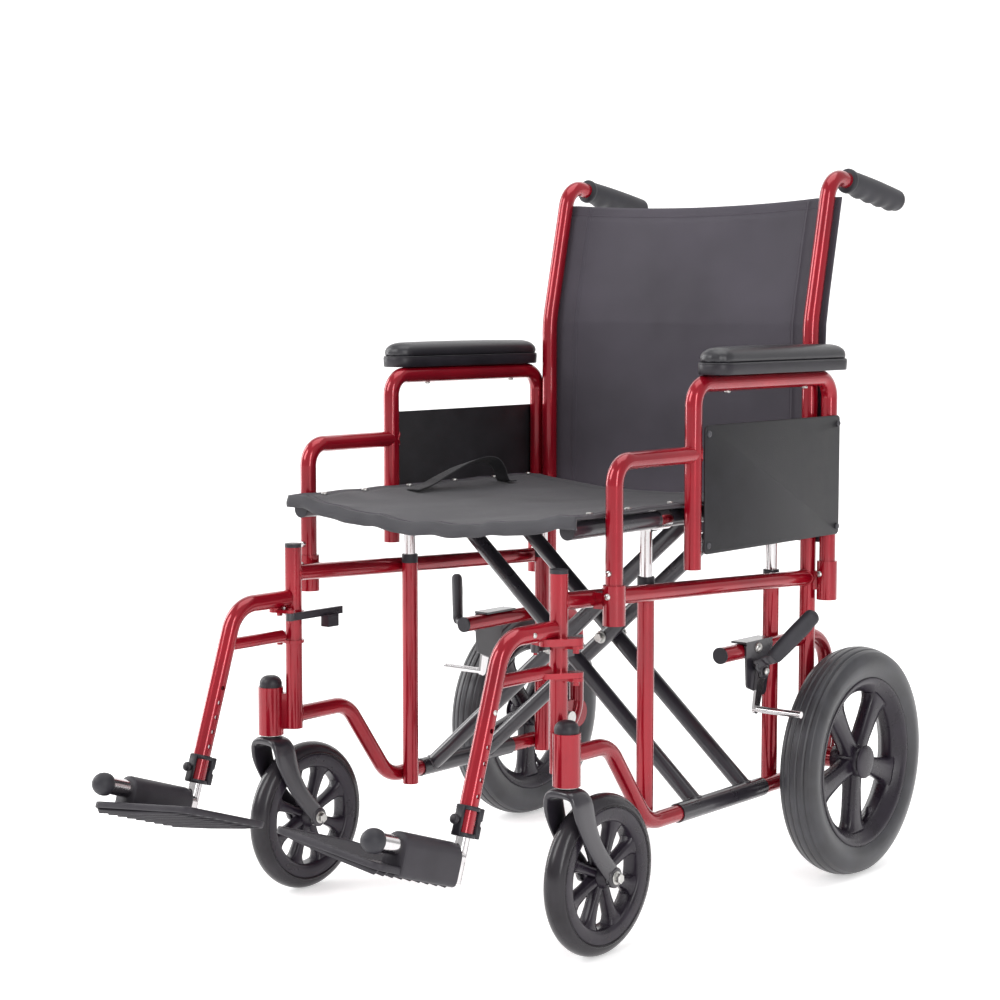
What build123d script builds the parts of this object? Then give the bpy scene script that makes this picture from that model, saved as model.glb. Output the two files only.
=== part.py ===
from build123d import *
import os
from math import atan2, cos, radians, sin, sqrt, tan

os.makedirs("parts", exist_ok=True)

# A folding transport wheelchair. The sitter faces -Y, +X is the sitter's left, and the wheels
# stand on Z = 0 with the origin under the middle of the chair. Every left-hand piece is drawn
# and its mirror image makes the right-hand one. All sizes are in millimetres.

# ---- driving dimensions ----------------------------------------------------------------------
half_track = 222.0  # front post, seat rail and fold pivot, each from the middle of the chair
post_y = -229.3  # front post; every other place along Y is given as a distance behind it

frame_tube = 22.2
branch_tube = 21.6  # a tube welded to the side of another, a touch slimmer
tube_bore = 18.2
running_gap = 0.1  # radial play of a turning or sliding fit
free_gap = 0.35  # play between faces that never touch

post_bottom_z = 230.0
post_top_z = 472.0
cap_height = 5.0

pivot_z = 134.0  # fold pivots, on the lower side tubes
rail_z = 521.0  # seat rails
rail_front = 18.0
rail_rear = 520.0
sleeve_front = 252.0  # black pivot sleeve between the red ends of the lower tube
sleeve_rear = 455.0
sleeve_wall = 1.6  # the sleeve stands this far proud of the tube
pivot_shaft = 15.8
brace_first = 277.0  # first brace tube behind the post
brace_gap = 1.8  # between the two tubes of one cross
brace_cross_step = 119.0  # between the two crosses
brace_bolt = 8.0

guide_inset = 21.0  # guide tubes stand inboard of the side frame
guide_front = 209.0
guide_rear = 508.0
guide_bottom_z = 122.0
guide_front_top_z = 434.0
guide_rear_top_z = 415.0
guide_post_diameter = 16.0
guide_post_bottom_z = 138.0
bush_height = 12.0
collar_wall = 2.0
collar_length = 24.0

cane_outset = 6.0  # outboard of the front post, as the other outsets are
cane_back = 560.0
cane_lean_z = 765.0  # the cane leans back above this height
cane_bend_back = 607.0
cane_bend_z = 972.0
cane_end_back = 795.0
cane_end_z = 942.0

side_tube_front_z = 438.0
side_tube_rear_z = 413.0
lower_tube_z = 248.0
lower_bend_back = 100.0
lower_drop_back = 184.0
rear_loop_back = 622.0
stub_front = 352.0
stub_z = 328.0

housing_outset = 26.0
housing_ahead = 18.0
housing_bottom_z = 221.0
housing_top_z = 285.0
housing_diameter = 34.0
dome_height = 15.0
stem_diameter = 12.0

caster_radius = 100.0
caster_width = 30.0
caster_trail = 65.0
caster_axle_diameter = 8.0
fork_leg = 7.0
fork_gap = 4.0

wheel_radius = 159.0
wheel_outset = 68.0
wheel_back = 582.0
tyre_width = 54.0
rim_radius = 112.0
axle_diameter = 12.0
hub_width = 50.0

arm_outset = 34.0
arm_front = 65.0
arm_leg = 233.0
arm_rear = 565.0
arm_step_z = 603.0
arm_top_z = 692.0
arm_leg_bottom_z = 457.0
arm_bend = 28.0
socket_wall = 2.8
socket_front_z = (405.0, 454.0)
socket_rear_z = (384.0, 438.0)
panel_thickness = 3.0
panel_z = (476.0, 640.0)
pad_front = 245.0
pad_rear = 587.0
pad_width = 50.0
pad_top_z = 740.0

pin_gap = 14.9  # from the post's skin to the middle of the hinge pin
pin_diameter = 8.0
lug_thickness = 4.0
upper_lug_z = 384.0
lower_lug_z = 345.0
hanger_z = 405.0
hanger_corner_ahead = 106.0
hanger_end_gap = 1.9  # between the post and the hanger's end
hanger_bottom_z = 188.0
hanger_lean = 18.5  # degrees from vertical; the foot rod stands square to the leg
strut_z = 356.0
strut_diameter = 16.0
slider_inside = 118.0
rod_z = 163.0
rod_diameter = 22.0
rod_length = 146.0
ball_radius = 13.0
slider_below_rod = 29.0

plate_reach = 152.0
plate_length = 138.0
plate_drop = 24.0
plate_rise = 6.0
plate_thickness = 6.0
rib_depth = 7.0
barrel_radius = 16.5

latch_inset = 17.0
latch_ahead = 24.0
latch_rear = 72.0

brake_pivot_back = 425.0
brake_pivot_z = 300.0
shoe_reach = 33.83  # from the tyre's tread to the middle of the shoe bar
shoe_z = 250.0
shoe_diameter = 9.0

sling_thickness = 3.5
sling_overhang = 16.0  # beyond the middle of the seat rail
sling_sag = 24.0
back_bottom_z = 462.0
back_top_z = 938.0
back_overhang = 15.0  # beyond the middle of the cane

# ---- places worked out from them -------------------------------------------------------------
tube_radius = frame_tube / 2
sleeve_diameter = frame_tube + 2 * sleeve_wall
socket_diameter = frame_tube + 2 * (running_gap + socket_wall)
shoe_back = wheel_back - sqrt((wheel_radius + shoe_reach) ** 2 - (shoe_z - wheel_radius) ** 2)
brace_pair_gap = frame_tube + brace_gap
guide_x = half_track - guide_inset
cane_x = half_track + cane_outset
housing_x = half_track + housing_outset
wheel_x = half_track + wheel_outset
arm_x = half_track + arm_outset
pin_x = half_track + tube_radius + pin_gap
latch_x = half_track - latch_inset
sling_half_width = half_track + sling_overhang
back_half_width = cane_x + back_overhang
bore_radius = tube_bore / 2
rail_top_gap = collar_wall + 2 * running_gap + 0.5
fork_outer = caster_width / 2 + fork_gap + fork_leg
down = Vector(0, -sin(radians(hanger_lean)), -cos(radians(hanger_lean)))
forward = Vector(0, -cos(radians(hanger_lean)), sin(radians(hanger_lean)))


def back(distance):
    """Y of a place a given distance behind the front post."""
    return post_y + distance


def on_leg(z):
    """Point on the centre line of the hanger's lower leg at height z."""
    fall = (hanger_z - z) * tan(radians(hanger_lean))
    return Vector(half_track, back(-hanger_corner_ahead) - fall, z)


def rod(start, end, diameter, bore=0.0):
    """Straight round bar or tube between two points."""
    axis = Vector(*end) - Vector(*start)
    with BuildPart() as piece:
        with BuildSketch(Plane(origin=start, z_dir=axis)):
            Circle(diameter / 2)
            if bore > 0:
                Circle(bore / 2, mode=Mode.SUBTRACT)
        extrude(amount=axis.length)
    return piece.part


def bent_bar(points, radii, diameter):
    """Round bar along a filleted polyline."""
    start = Vector(*points[0])
    with BuildPart() as piece:
        with BuildLine() as path:
            FilletPolyline(*points, radius=radii)
        with BuildSketch(Plane(origin=start, z_dir=Vector(*points[1]) - start)):
            Circle(diameter / 2)
        sweep(path=path.line)
    return piece.part


def block(x_range, y_range, z_range):
    """Box between two values on each axis."""
    centre = [(low + high) / 2 for low, high in (x_range, y_range, z_range)]
    size = [high - low for low, high in (x_range, y_range, z_range)]
    with BuildPart() as piece:
        with Locations(tuple(centre)):
            Box(*size)
    return piece.part


def link_plate(circles, z_range, holes=()):
    """Flat horizontal plate round the hull of some circles (x, y, radius), with round holes."""
    with BuildPart() as piece:
        with BuildSketch(Plane.XY.offset(z_range[0])):
            for x, y, radius in circles:
                with Locations((x, y)):
                    Circle(radius)
            make_hull()
            for x, y, radius in holes:
                with Locations((x, y)):
                    Circle(radius, mode=Mode.SUBTRACT)
        extrude(amount=z_range[1] - z_range[0])
    return piece.part


def side_plate(circles, x_range, holes=()):
    """Flat upright plate, square to X, round the hull of some circles (y, z, radius)."""
    with BuildPart() as piece:
        with BuildSketch(Plane.YZ.offset(x_range[0])):
            for y, z, radius in circles:
                with Locations((y, z)):
                    Circle(radius)
            make_hull()
            for y, z, radius in holes:
                with Locations((y, z)):
                    Circle(radius, mode=Mode.SUBTRACT)
        extrude(amount=x_range[1] - x_range[0])
    return piece.part


def write(builder, name):
    """Label a finished piece and write its STEP file."""
    builder.part.label = name
    export_step(builder.part, f"parts/{name}.step")


def write_pair(builder, name):
    """Write a left-hand piece and its mirror image for the right-hand side."""
    write(builder, f"{name}_left")
    twin = mirror(builder.part, about=Plane.YZ)
    with BuildPart() as other:
        add(twin)
    write(other, f"{name}_right")


# ---- side frame ------------------------------------------------------------------------------
# One weldment of red steel tube: front post, sloping side tube, stepped lower tube, the two
# guide tubes inboard of it, the rear loop that starts as the brake stub, the caster housing,
# the two armrest sockets, the hanger lugs and the rear axle boss.
post_place = (half_track, back(0))
cane_points = [
    (cane_x, back(cane_back), pivot_z + 6),
    (cane_x, back(cane_back), cane_lean_z),
    (cane_x, back(cane_bend_back), cane_bend_z),
    (cane_x, back(cane_end_back), cane_end_z),
]
cane_radii = [150.0, 34.0]
lower_points = [
    (half_track, back(0), lower_tube_z),
    (half_track, back(lower_bend_back), lower_tube_z),
    (half_track, back(lower_drop_back), pivot_z),
    (half_track, back(sleeve_front), pivot_z),
]
loop_points = [
    (half_track, back(stub_front), stub_z),
    (half_track, back(rear_loop_back), stub_z),
    (half_track, back(rear_loop_back), pivot_z),
    (half_track, back(sleeve_rear), pivot_z),
]
guides = [(guide_front, guide_front_top_z), (guide_rear, guide_rear_top_z)]
side_tube_ends = [
    (half_track, back(0), side_tube_front_z),
    (cane_x, back(cane_back), side_tube_rear_z),
]
arm_sockets = [(arm_front, socket_front_z), (arm_rear, socket_rear_z)]
socket_bore = frame_tube + 2 * running_gap
housing_y = back(-housing_ahead)


def frame_tubes(diameter, inset):
    """The side frame's tubes at one diameter, their welded ends set in by a distance."""
    side_run = (Vector(*side_tube_ends[1]) - Vector(*side_tube_ends[0])).normalized()
    side_start = Vector(*side_tube_ends[0]) + side_run * inset
    side_end = Vector(*side_tube_ends[1]) - side_run * inset
    lower_start = (half_track, back(inset), lower_tube_z)
    branch = min(diameter, branch_tube)
    pieces = [
        rod((*post_place, post_bottom_z), (*post_place, post_top_z), diameter),
        rod(tuple(side_start), tuple(side_end), branch),
        bent_bar([lower_start] + lower_points[1:], [45.0, 50.0], branch),
        bent_bar(loop_points, [48.0, 48.0], branch),
    ]
    for place, top_z in guides:
        foot = (guide_x, back(place), guide_bottom_z)
        pieces.append(rod(foot, (guide_x, back(place), top_z), diameter))
    return pieces


frame_shapes = frame_tubes(frame_tube, 0.0)
frame_bores = frame_tubes(tube_bore, tube_radius + 2.0)
shaft_seat = 14.0
shaft_places = (sleeve_front - shaft_seat, sleeve_front, sleeve_rear, sleeve_rear + shaft_seat)
shaft_stations = [(half_track, back(place), pivot_z) for place in shaft_places]
shaft_shapes = [
    rod(shaft_stations[0], shaft_stations[1], frame_tube - 1.0),
    rod(shaft_stations[1], shaft_stations[2], pivot_shaft),
    rod(shaft_stations[2], shaft_stations[3], frame_tube - 1.0),
]
housing = rod(
    (housing_x, housing_y, housing_bottom_z), (housing_x, housing_y, housing_top_z), housing_diameter
)
housing_bore = rod(
    (housing_x, housing_y, housing_bottom_z),
    (housing_x, housing_y, housing_top_z),
    stem_diameter + 2 * running_gap,
)
housing_web = link_plate(
    [(housing_x, housing_y, 6.0), (*post_place, 6.0)],
    (housing_bottom_z + 8, housing_top_z - 8),
)
socket_shapes = []
socket_bores = []
for place, (low, high) in arm_sockets:
    foot = (arm_x, back(place), low)
    socket_shapes.append(rod(foot, (arm_x, back(place), high), socket_diameter))
    bore_foot = (arm_x, back(place), low + 3)
    socket_bores.append(rod(bore_foot, (arm_x, back(place), high), socket_bore))
front_web = block(
    (half_track + 8, arm_x - socket_bore / 2 - 1),
    (back(arm_front) - 7, back(arm_front) + 7),
    (side_tube_front_z - 14, side_tube_front_z + 6),
)
rear_web = link_plate(
    [(cane_x, back(cane_back), 5.0), (arm_x, back(arm_rear), 5.0)],
    (side_tube_rear_z - 16, side_tube_rear_z + 10),
)
lugs = [
    link_plate(
        [(*post_place, 14.0), (pin_x, back(0), 9.0)],
        (z, z + lug_thickness),
        [(pin_x, back(0), pin_diameter / 2 + running_gap)],
    )
    for z in (upper_lug_z, lower_lug_z)
]
boss_diameter = 28.0
boss_inner_x = half_track - 14
boss_outer_x = wheel_x - hub_width / 2 - 1.5
axle_point = (back(wheel_back), wheel_radius)
axle_boss = rod((boss_inner_x, *axle_point), (boss_outer_x, *axle_point), boss_diameter)
axle_bore = rod((boss_inner_x, *axle_point), (boss_outer_x, *axle_point), axle_diameter)
axle_plate = side_plate(
    [
        (back(cane_back), wheel_radius, 22.0),
        (back(rear_loop_back), wheel_radius, 22.0),
    ],
    (half_track - 4, half_track + 4),
)
cane_outside = bent_bar(cane_points, cane_radii, frame_tube)
cane_bore = bent_bar(cane_points, cane_radii, tube_bore)

with BuildPart() as side_frame:
    for shape in frame_shapes:
        add(shape)
    add(housing)
    add(housing_web)
    for shape in socket_shapes:
        add(shape)
    add(front_web)
    add(rear_web)
    for lug in lugs:
        add(lug)
    add(axle_boss)
    add(axle_plate)
    for bore in frame_bores:
        add(bore, mode=Mode.SUBTRACT)
    add(housing_bore, mode=Mode.SUBTRACT)
    for bore in socket_bores:
        add(bore, mode=Mode.SUBTRACT)
    add(axle_bore, mode=Mode.SUBTRACT)
    add(cane_outside, mode=Mode.SUBTRACT)
    for shape in shaft_shapes:
        add(shape)
write_pair(side_frame, "side_frame")

# The cane carries the backrest and the push grip. The side frame is coped round it.
with BuildPart() as back_cane:
    add(cane_outside)
    add(cane_bore, mode=Mode.SUBTRACT)
write_pair(back_cane, "back_cane")

# Black plastic plugs and bushes fixed in the side frame.
post_cap = rod((*post_place, post_top_z), (*post_place, post_top_z + cap_height), frame_tube)
post_spigot = rod((*post_place, post_top_z - 14), (*post_place, post_top_z), tube_bore)
stub_cap = rod(
    (half_track, back(stub_front) - 3, stub_z), (half_track, back(stub_front), stub_z), frame_tube
)
stub_spigot = rod(
    (half_track, back(stub_front), stub_z), (half_track, back(stub_front) + 14, stub_z), tube_bore
)
bush_shapes = []
for place, top_z in guides:
    low = (guide_x, back(place), top_z - 30)
    middle = (guide_x, back(place), top_z)
    high = (guide_x, back(place), top_z + bush_height)
    hole = guide_post_diameter + 2 * running_gap
    bush_shapes.append(rod(low, middle, tube_bore, hole))
    bush_shapes.append(rod(middle, high, frame_tube, hole))

with BuildPart() as dome:
    add(
        rod(
            (housing_x, housing_y, housing_top_z),
            (housing_x, housing_y, housing_top_z + dome_height),
            housing_diameter - 4,
        )
    )
    fillet(dome.faces().sort_by(Axis.Z)[-1].edges(), radius=dome_height - 4)

with BuildPart() as frame_plugs:
    add(post_cap)
    add(post_spigot)
    add(stub_cap)
    add(stub_spigot)
    for shape in bush_shapes:
        add(shape)
    add(dome.part)
write_pair(frame_plugs, "frame_plugs")

# ---- folding cross ---------------------------------------------------------------------------
# Each cross brace is one black weldment: a sleeve that turns on the lower side tube's shaft,
# two tubes that rise to the other side, and the seat rail across their tops.


def brace(side, first):
    """Cross brace with its pivot sleeve on one side (+1 is left) and its rail on the other."""
    foot_x = side * half_track
    head_x = -side * half_track
    middle_z = (pivot_z + rail_z) / 2
    places = [first, first + brace_cross_step]
    outsides = []
    bores = []
    holes = []
    for place in places:
        foot = (foot_x, back(place), pivot_z)
        head = (head_x, back(place), rail_z)
        outsides.append(rod(foot, head, frame_tube))
        bores.append(rod(foot, head, tube_bore))
        near = (0, back(place) - frame_tube, middle_z)
        far = (0, back(place) + frame_tube, middle_z)
        holes.append(rod(near, far, brace_bolt + 2 * running_gap))
    sleeve_ends = [(foot_x, back(place), pivot_z) for place in (sleeve_front, sleeve_rear)]
    sleeve_ends[0] = (foot_x, back(sleeve_front) + free_gap, pivot_z)
    sleeve_ends[1] = (foot_x, back(sleeve_rear) - free_gap, pivot_z)
    sleeve = rod(*sleeve_ends, sleeve_diameter)
    sleeve_bore = rod(*sleeve_ends, pivot_shaft + 2 * running_gap)
    rail_ends = [(head_x, back(rail_front), rail_z), (head_x, back(rail_rear), rail_z)]
    rail = rod(*rail_ends, frame_tube)
    rail_bore = rod(*rail_ends, tube_bore)
    with BuildPart() as piece:
        for shape in outsides:
            add(shape)
        add(sleeve)
        add(rail)
        for shape in bores:
            add(shape, mode=Mode.SUBTRACT)
        add(sleeve_bore, mode=Mode.SUBTRACT)
        add(rail_bore, mode=Mode.SUBTRACT)
        for hole in holes:
            add(hole, mode=Mode.SUBTRACT)
    return piece


cross_brace_a = brace(1, brace_first + brace_pair_gap)
write(cross_brace_a, "cross_brace_a")
cross_brace_b = brace(-1, brace_first)
write(cross_brace_b, "cross_brace_b")

bolt_z = (pivot_z + rail_z) / 2
bolt_shapes = []
for cross in range(2):
    start = brace_first + cross * brace_cross_step - tube_radius
    end = start + brace_pair_gap + frame_tube
    head_near = (0, back(start) - 6 - free_gap, bolt_z)
    seat_near = (0, back(start) - free_gap, bolt_z)
    seat_far = (0, back(end) + free_gap, bolt_z)
    head_far = (0, back(end) + 7 + free_gap, bolt_z)
    bolt_shapes.append(rod(head_near, seat_near, 14.0))
    bolt_shapes.append(rod(seat_near, seat_far, brace_bolt))
    bolt_shapes.append(rod(seat_far, head_far, 14.0))
with BuildPart() as brace_bolts:
    for shape in bolt_shapes:
        add(shape)
write(brace_bolts, "brace_bolts")

rail_plug_disc = rod(
    (half_track, back(rail_front) - 3, rail_z), (half_track, back(rail_front), rail_z), frame_tube
)
rail_plug_spigot = rod(
    (half_track, back(rail_front), rail_z), (half_track, back(rail_front) + 14, rail_z), tube_bore
)
with BuildPart() as rail_plug:
    add(rail_plug_disc)
    add(rail_plug_spigot)
write_pair(rail_plug, "rail_plug")

# Chrome posts that slide in the guide tubes. Each hangs from a ring that turns on the seat rail.
ring_bore = frame_tube + 2 * running_gap
ring_diameter = ring_bore + 2 * collar_wall
post_shapes = []
ring_cuts = []
for place in (guide_front, guide_rear):
    foot = (guide_x, back(place), guide_post_bottom_z)
    head = (guide_x, back(place), rail_z - 6)
    post_shapes.append(rod(foot, head, guide_post_diameter, guide_post_diameter - 3.0))
    ring_start = (half_track, back(place) - collar_length / 2, rail_z)
    ring_end = (half_track, back(place) + collar_length / 2, rail_z)
    post_shapes.append(rod(ring_start, ring_end, ring_diameter))
    post_shapes.append(
        block(
            (guide_x - 7, half_track - 9),
            (back(place) - 7, back(place) + 7),
            (rail_z - 16, rail_z + 2),
        )
    )
    ring_cuts.append(rod(ring_start, ring_end, ring_bore))
with BuildPart() as guide_posts:
    for shape in post_shapes:
        add(shape)
    for cut in ring_cuts:
        add(cut, mode=Mode.SUBTRACT)
write_pair(guide_posts, "guide_posts")

# ---- seat and back ---------------------------------------------------------------------------
sling_low_z = rail_z + tube_radius + rail_top_gap
with BuildPart() as seat_sling:
    with BuildSketch(Plane.XZ.offset(-back(rail_front - 6))):
        with BuildLine():
            flat = sling_half_width - 30
            top_z = sling_low_z + sling_thickness
            Line((-sling_half_width, sling_low_z), (-sling_half_width, top_z))
            Line((-sling_half_width, top_z), (-flat, top_z))
            ThreePointArc((-flat, top_z), (0, top_z - sling_sag), (flat, top_z))
            Line((flat, top_z), (sling_half_width, top_z))
            Line((sling_half_width, top_z), (sling_half_width, sling_low_z))
            Line((sling_half_width, sling_low_z), (flat, sling_low_z))
            ThreePointArc((flat, sling_low_z), (0, sling_low_z - sling_sag), (-flat, sling_low_z))
            Line((-flat, sling_low_z), (-sling_half_width, sling_low_z))
        make_face()
    extrude(amount=-(rail_rear - rail_front))
write(seat_sling, "seat_sling")

lean = atan2(cane_bend_back - cane_back, cane_bend_z - cane_lean_z)
back_gap = tube_radius + 3 * free_gap
back_knee = (back(cane_back) + back_gap, cane_lean_z)
back_rise = (back_top_z - cane_lean_z) * tan(lean)
back_thickness = 3.0
with BuildPart() as back_sling:
    with BuildSketch(Plane.YZ.offset(-back_half_width)):
        with BuildLine():
            Polyline(
                (back_knee[0], back_bottom_z),
                back_knee,
                (back_knee[0] + back_rise, back_top_z),
                (back_knee[0] + back_rise + back_thickness, back_top_z),
                (back_knee[0] + back_thickness, cane_lean_z),
                (back_knee[0] + back_thickness, back_bottom_z),
                close=True,
            )
        make_face()
    extrude(amount=2 * back_half_width)
write(back_sling, "back_sling")

# Webbing loop sewn to the seat; pulling it up folds the chair.
strap_width = 22.0
strap_x = -190.0
strap_foot_z = sling_low_z + sling_thickness + 1.0
strap_outline = [(205.0, 0.0), (262.0, 14.0), (330.0, 33.0), (372.0, 30.0), (398.0, 0.0)]
with BuildPart() as pull_strap:
    with BuildSketch(Plane.YZ.offset(strap_x - strap_width / 2)):
        with BuildLine() as strap_line:
            Spline(*[(back(place), strap_foot_z + rise) for place, rise in strap_outline])
        trace(strap_line.line, line_width=2.4)
    extrude(amount=strap_width)
write(pull_strap, "pull_strap")

# ---- casters ---------------------------------------------------------------------------------
caster_y = housing_y + caster_trail
crown_z = (housing_bottom_z - 16, housing_bottom_z - 1)
stem = rod((housing_x, housing_y, crown_z[0]), (housing_x, housing_y, housing_top_z - 4), stem_diameter)
crown = block(
    (housing_x - fork_outer, housing_x + fork_outer),
    (housing_y - 15, housing_y + 15),
    crown_z,
)
leg_shapes = []
for side in (-1, 1):
    inner = housing_x + side * (fork_outer - fork_leg)
    outer = housing_x + side * fork_outer
    span = (min(inner, outer), max(inner, outer))
    knee = (housing_y + 6, (crown_z[0] + caster_radius) / 2 + 14, 12.5)
    leg_shapes.append(side_plate([(housing_y, crown_z[0] + 4, 15.0), knee], span))
    leg_shapes.append(side_plate([knee, (caster_y, caster_radius, 13.0)], span))
fork_hole = rod(
    (housing_x - fork_outer, caster_y, caster_radius),
    (housing_x + fork_outer, caster_y, caster_radius),
    caster_axle_diameter,
)
with BuildPart() as caster_fork:
    add(stem)
    add(crown)
    for shape in leg_shapes:
        add(shape)
    add(fork_hole, mode=Mode.SUBTRACT)
write_pair(caster_fork, "caster_fork")

with BuildPart() as caster_axle:
    add(
        rod(
            (housing_x - fork_outer, caster_y, caster_radius),
            (housing_x + fork_outer, caster_y, caster_radius),
            caster_axle_diameter,
        )
    )
    for side in (-1, 1):
        face = housing_x + side * fork_outer
        add(
            rod(
                (face, caster_y, caster_radius),
                (face + side * 6, caster_y, caster_radius),
                13.0,
            )
        )
write_pair(caster_axle, "caster_axle")


def wheel_disc(centre_x, centre_y, radius, half_width, inner_radius, crown_drop):
    """Ring with a rounded tread, on an axle along X."""
    with BuildPart() as piece:
        with BuildSketch(Plane(origin=(centre_x, centre_y, radius), x_dir=(1, 0, 0), z_dir=(0, -1, 0))):
            with BuildLine():
                Line((-half_width, inner_radius), (-half_width, radius - crown_drop))
                ThreePointArc((-half_width, radius - crown_drop), (0, radius), (half_width, radius - crown_drop))
                Line((half_width, radius - crown_drop), (half_width, inner_radius))
                Line((half_width, inner_radius), (-half_width, inner_radius))
            make_face()
        revolve(axis=Axis((centre_x, centre_y, radius), (1, 0, 0)))
    return piece.part


def spokes(centre, count, inner, outer, width, thickness, start):
    """Flat spokes round an axle along X."""
    shapes = []
    for index in range(count):
        angle = radians(start + index * 360 / count)
        direction = Vector(0, cos(angle), sin(angle))
        plane = Plane(origin=Vector(*centre) + direction * inner, x_dir=(1, 0, 0), z_dir=direction)
        with BuildPart() as piece:
            with BuildSketch(plane):
                Rectangle(thickness, width)
            extrude(amount=outer - inner)
        shapes.append(piece.part)
    return shapes


caster_centre = (housing_x, caster_y, caster_radius)
caster_tread = wheel_disc(housing_x, caster_y, caster_radius, caster_width / 2, 76.0, 9.0)
caster_spokes = spokes(caster_centre, 8, 12.0, 78.0, 13.0, 10.0, 10.0)
caster_hub_half = caster_width / 2 + fork_gap - 0.5
caster_hub = rod(
    (housing_x - caster_hub_half, caster_y, caster_radius),
    (housing_x + caster_hub_half, caster_y, caster_radius),
    32.0,
)
caster_hub_bore = rod(
    (housing_x - caster_hub_half, caster_y, caster_radius),
    (housing_x + caster_hub_half, caster_y, caster_radius),
    caster_axle_diameter + 2 * running_gap,
)
with BuildPart() as caster_wheel:
    add(caster_tread)
    for shape in caster_spokes:
        add(shape)
    add(caster_hub)
    add(caster_hub_bore, mode=Mode.SUBTRACT)
write_pair(caster_wheel, "caster_wheel")

# ---- rear wheels -----------------------------------------------------------------------------
wheel_centre = (wheel_x, back(wheel_back), wheel_radius)
rim_half_width = 19.0
rim_band = 16.0
hub_radius = 24.0
tyre_lip = 3.0
hub_cap_depth = 5.0
hub_inner_x = wheel_x - hub_width / 2
hub_outer_x = wheel_x + hub_width / 2
rim_ring = rod(
    (wheel_x - rim_half_width, *axle_point),
    (wheel_x + rim_half_width, *axle_point),
    2 * rim_radius,
    2 * (rim_radius - rim_band),
)
hub = rod((hub_inner_x, *axle_point), (hub_outer_x, *axle_point), 2 * hub_radius)
hub_bore = rod(
    (hub_inner_x, *axle_point), (hub_outer_x - hub_cap_depth, *axle_point), axle_diameter + 2 * running_gap
)
rim_spokes = spokes(wheel_centre, 5, hub_radius - 4, rim_radius - rim_band + 2, 26.0, 16.0, 54.0)
with BuildPart() as rear_rim:
    add(rim_ring)
    add(hub)
    for shape in rim_spokes:
        add(shape)
    add(hub_bore, mode=Mode.SUBTRACT)
write_pair(rear_rim, "rear_rim")

with BuildPart() as rear_tyre:
    with BuildSketch(Plane(origin=wheel_centre, x_dir=(1, 0, 0), z_dir=(0, -1, 0))):
        half = tyre_width / 2
        shoulder = (rim_radius + wheel_radius) / 2
        with BuildLine():
            Line((-rim_half_width, rim_radius), (rim_half_width, rim_radius))
            ThreePointArc(
                (rim_half_width, rim_radius),
                (half, shoulder),
                (0, wheel_radius),
            )
            ThreePointArc(
                (0, wheel_radius),
                (-half, shoulder),
                (-rim_half_width, rim_radius),
            )
        make_face()
    revolve(axis=Axis(wheel_centre, (1, 0, 0)))
write_pair(rear_tyre, "rear_tyre")

with BuildPart() as rear_axle:
    add(rod((boss_inner_x, *axle_point), (hub_outer_x - hub_cap_depth - 1, *axle_point), axle_diameter))
    add(rod((boss_inner_x - 8, *axle_point), (boss_inner_x, *axle_point), 20.0))
write_pair(rear_axle, "rear_axle")

# ---- push grips ------------------------------------------------------------------------------
cane_top = Vector(*cane_points[2])
cane_tip = Vector(*cane_points[3])
grip_axis = (cane_tip - cane_top).normalized()
grip_diameter = 31.0
grip_front = cane_top + grip_axis * 44
grip_rear = cane_tip + grip_axis * 7
grip_body = rod(tuple(grip_front), tuple(grip_rear), grip_diameter)
grip_bore = rod(tuple(grip_front), tuple(cane_tip), frame_tube)
with BuildPart() as push_grip:
    add(grip_body)
    fillet(push_grip.edges().filter_by(GeomType.CIRCLE), radius=4.0)
    add(grip_bore, mode=Mode.SUBTRACT)
write_pair(push_grip, "push_grip")

# ---- armrests --------------------------------------------------------------------------------
# A bent tube loop carries the pad and side panel; a forward step drops into the front socket
# and the rear leg into the rear socket, so the arm lifts straight off.
step_points = [
    (arm_x, back(arm_front), socket_front_z[0] + 5),
    (arm_x, back(arm_front), arm_step_z),
    (arm_x, back(arm_leg), arm_step_z),
]
loop_arm_points = [
    (arm_x, back(arm_leg), arm_leg_bottom_z),
    (arm_x, back(arm_leg), arm_top_z),
    (arm_x, back(arm_rear), arm_top_z),
    (arm_x, back(arm_rear), socket_rear_z[0] + 5),
]
arm_shapes = [
    bent_bar(step_points, [arm_bend], branch_tube),
    bent_bar(loop_arm_points, [arm_bend, arm_bend], frame_tube),
]
step_bore_end = (arm_x, back(arm_leg) - tube_radius - 2, arm_step_z)
arm_bores = [
    bent_bar(step_points[:2] + [step_bore_end], [arm_bend], tube_bore),
    bent_bar(loop_arm_points, [arm_bend, arm_bend], tube_bore),
]
button_diameter = 8.0
button_z = socket_front_z[1] + 15
button_start = (arm_x, back(arm_front) - tube_radius - 4, button_z)
button_end = (arm_x, back(arm_front) - bore_radius + 3, button_z)
button_hole = rod(
    (arm_x, back(arm_front) - tube_radius - 4, button_z),
    (arm_x, back(arm_front), button_z),
    button_diameter + 2 * running_gap,
)
with BuildPart() as arm_frame:
    for shape in arm_shapes:
        add(shape)
    for shape in arm_bores:
        add(shape, mode=Mode.SUBTRACT)
    add(button_hole, mode=Mode.SUBTRACT)
write_pair(arm_frame, "arm_frame")

arm_button_body = rod(button_start, button_end, button_diameter)
with BuildPart() as arm_button:
    add(arm_button_body)
    fillet(arm_button.edges().filter_by(GeomType.CIRCLE).sort_by(Axis.Y)[:1], radius=2.5)
write_pair(arm_button, "arm_button")

panel_x = (arm_x + tube_radius, arm_x + tube_radius + panel_thickness)
panel_y = (back(arm_leg) + 7, back(arm_rear) + 6)
with BuildPart() as arm_panel:
    add(block(panel_x, panel_y, panel_z))
    fillet(arm_panel.edges().filter_by(Axis.X), radius=6.0)
write_pair(arm_panel, "arm_panel")

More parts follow.
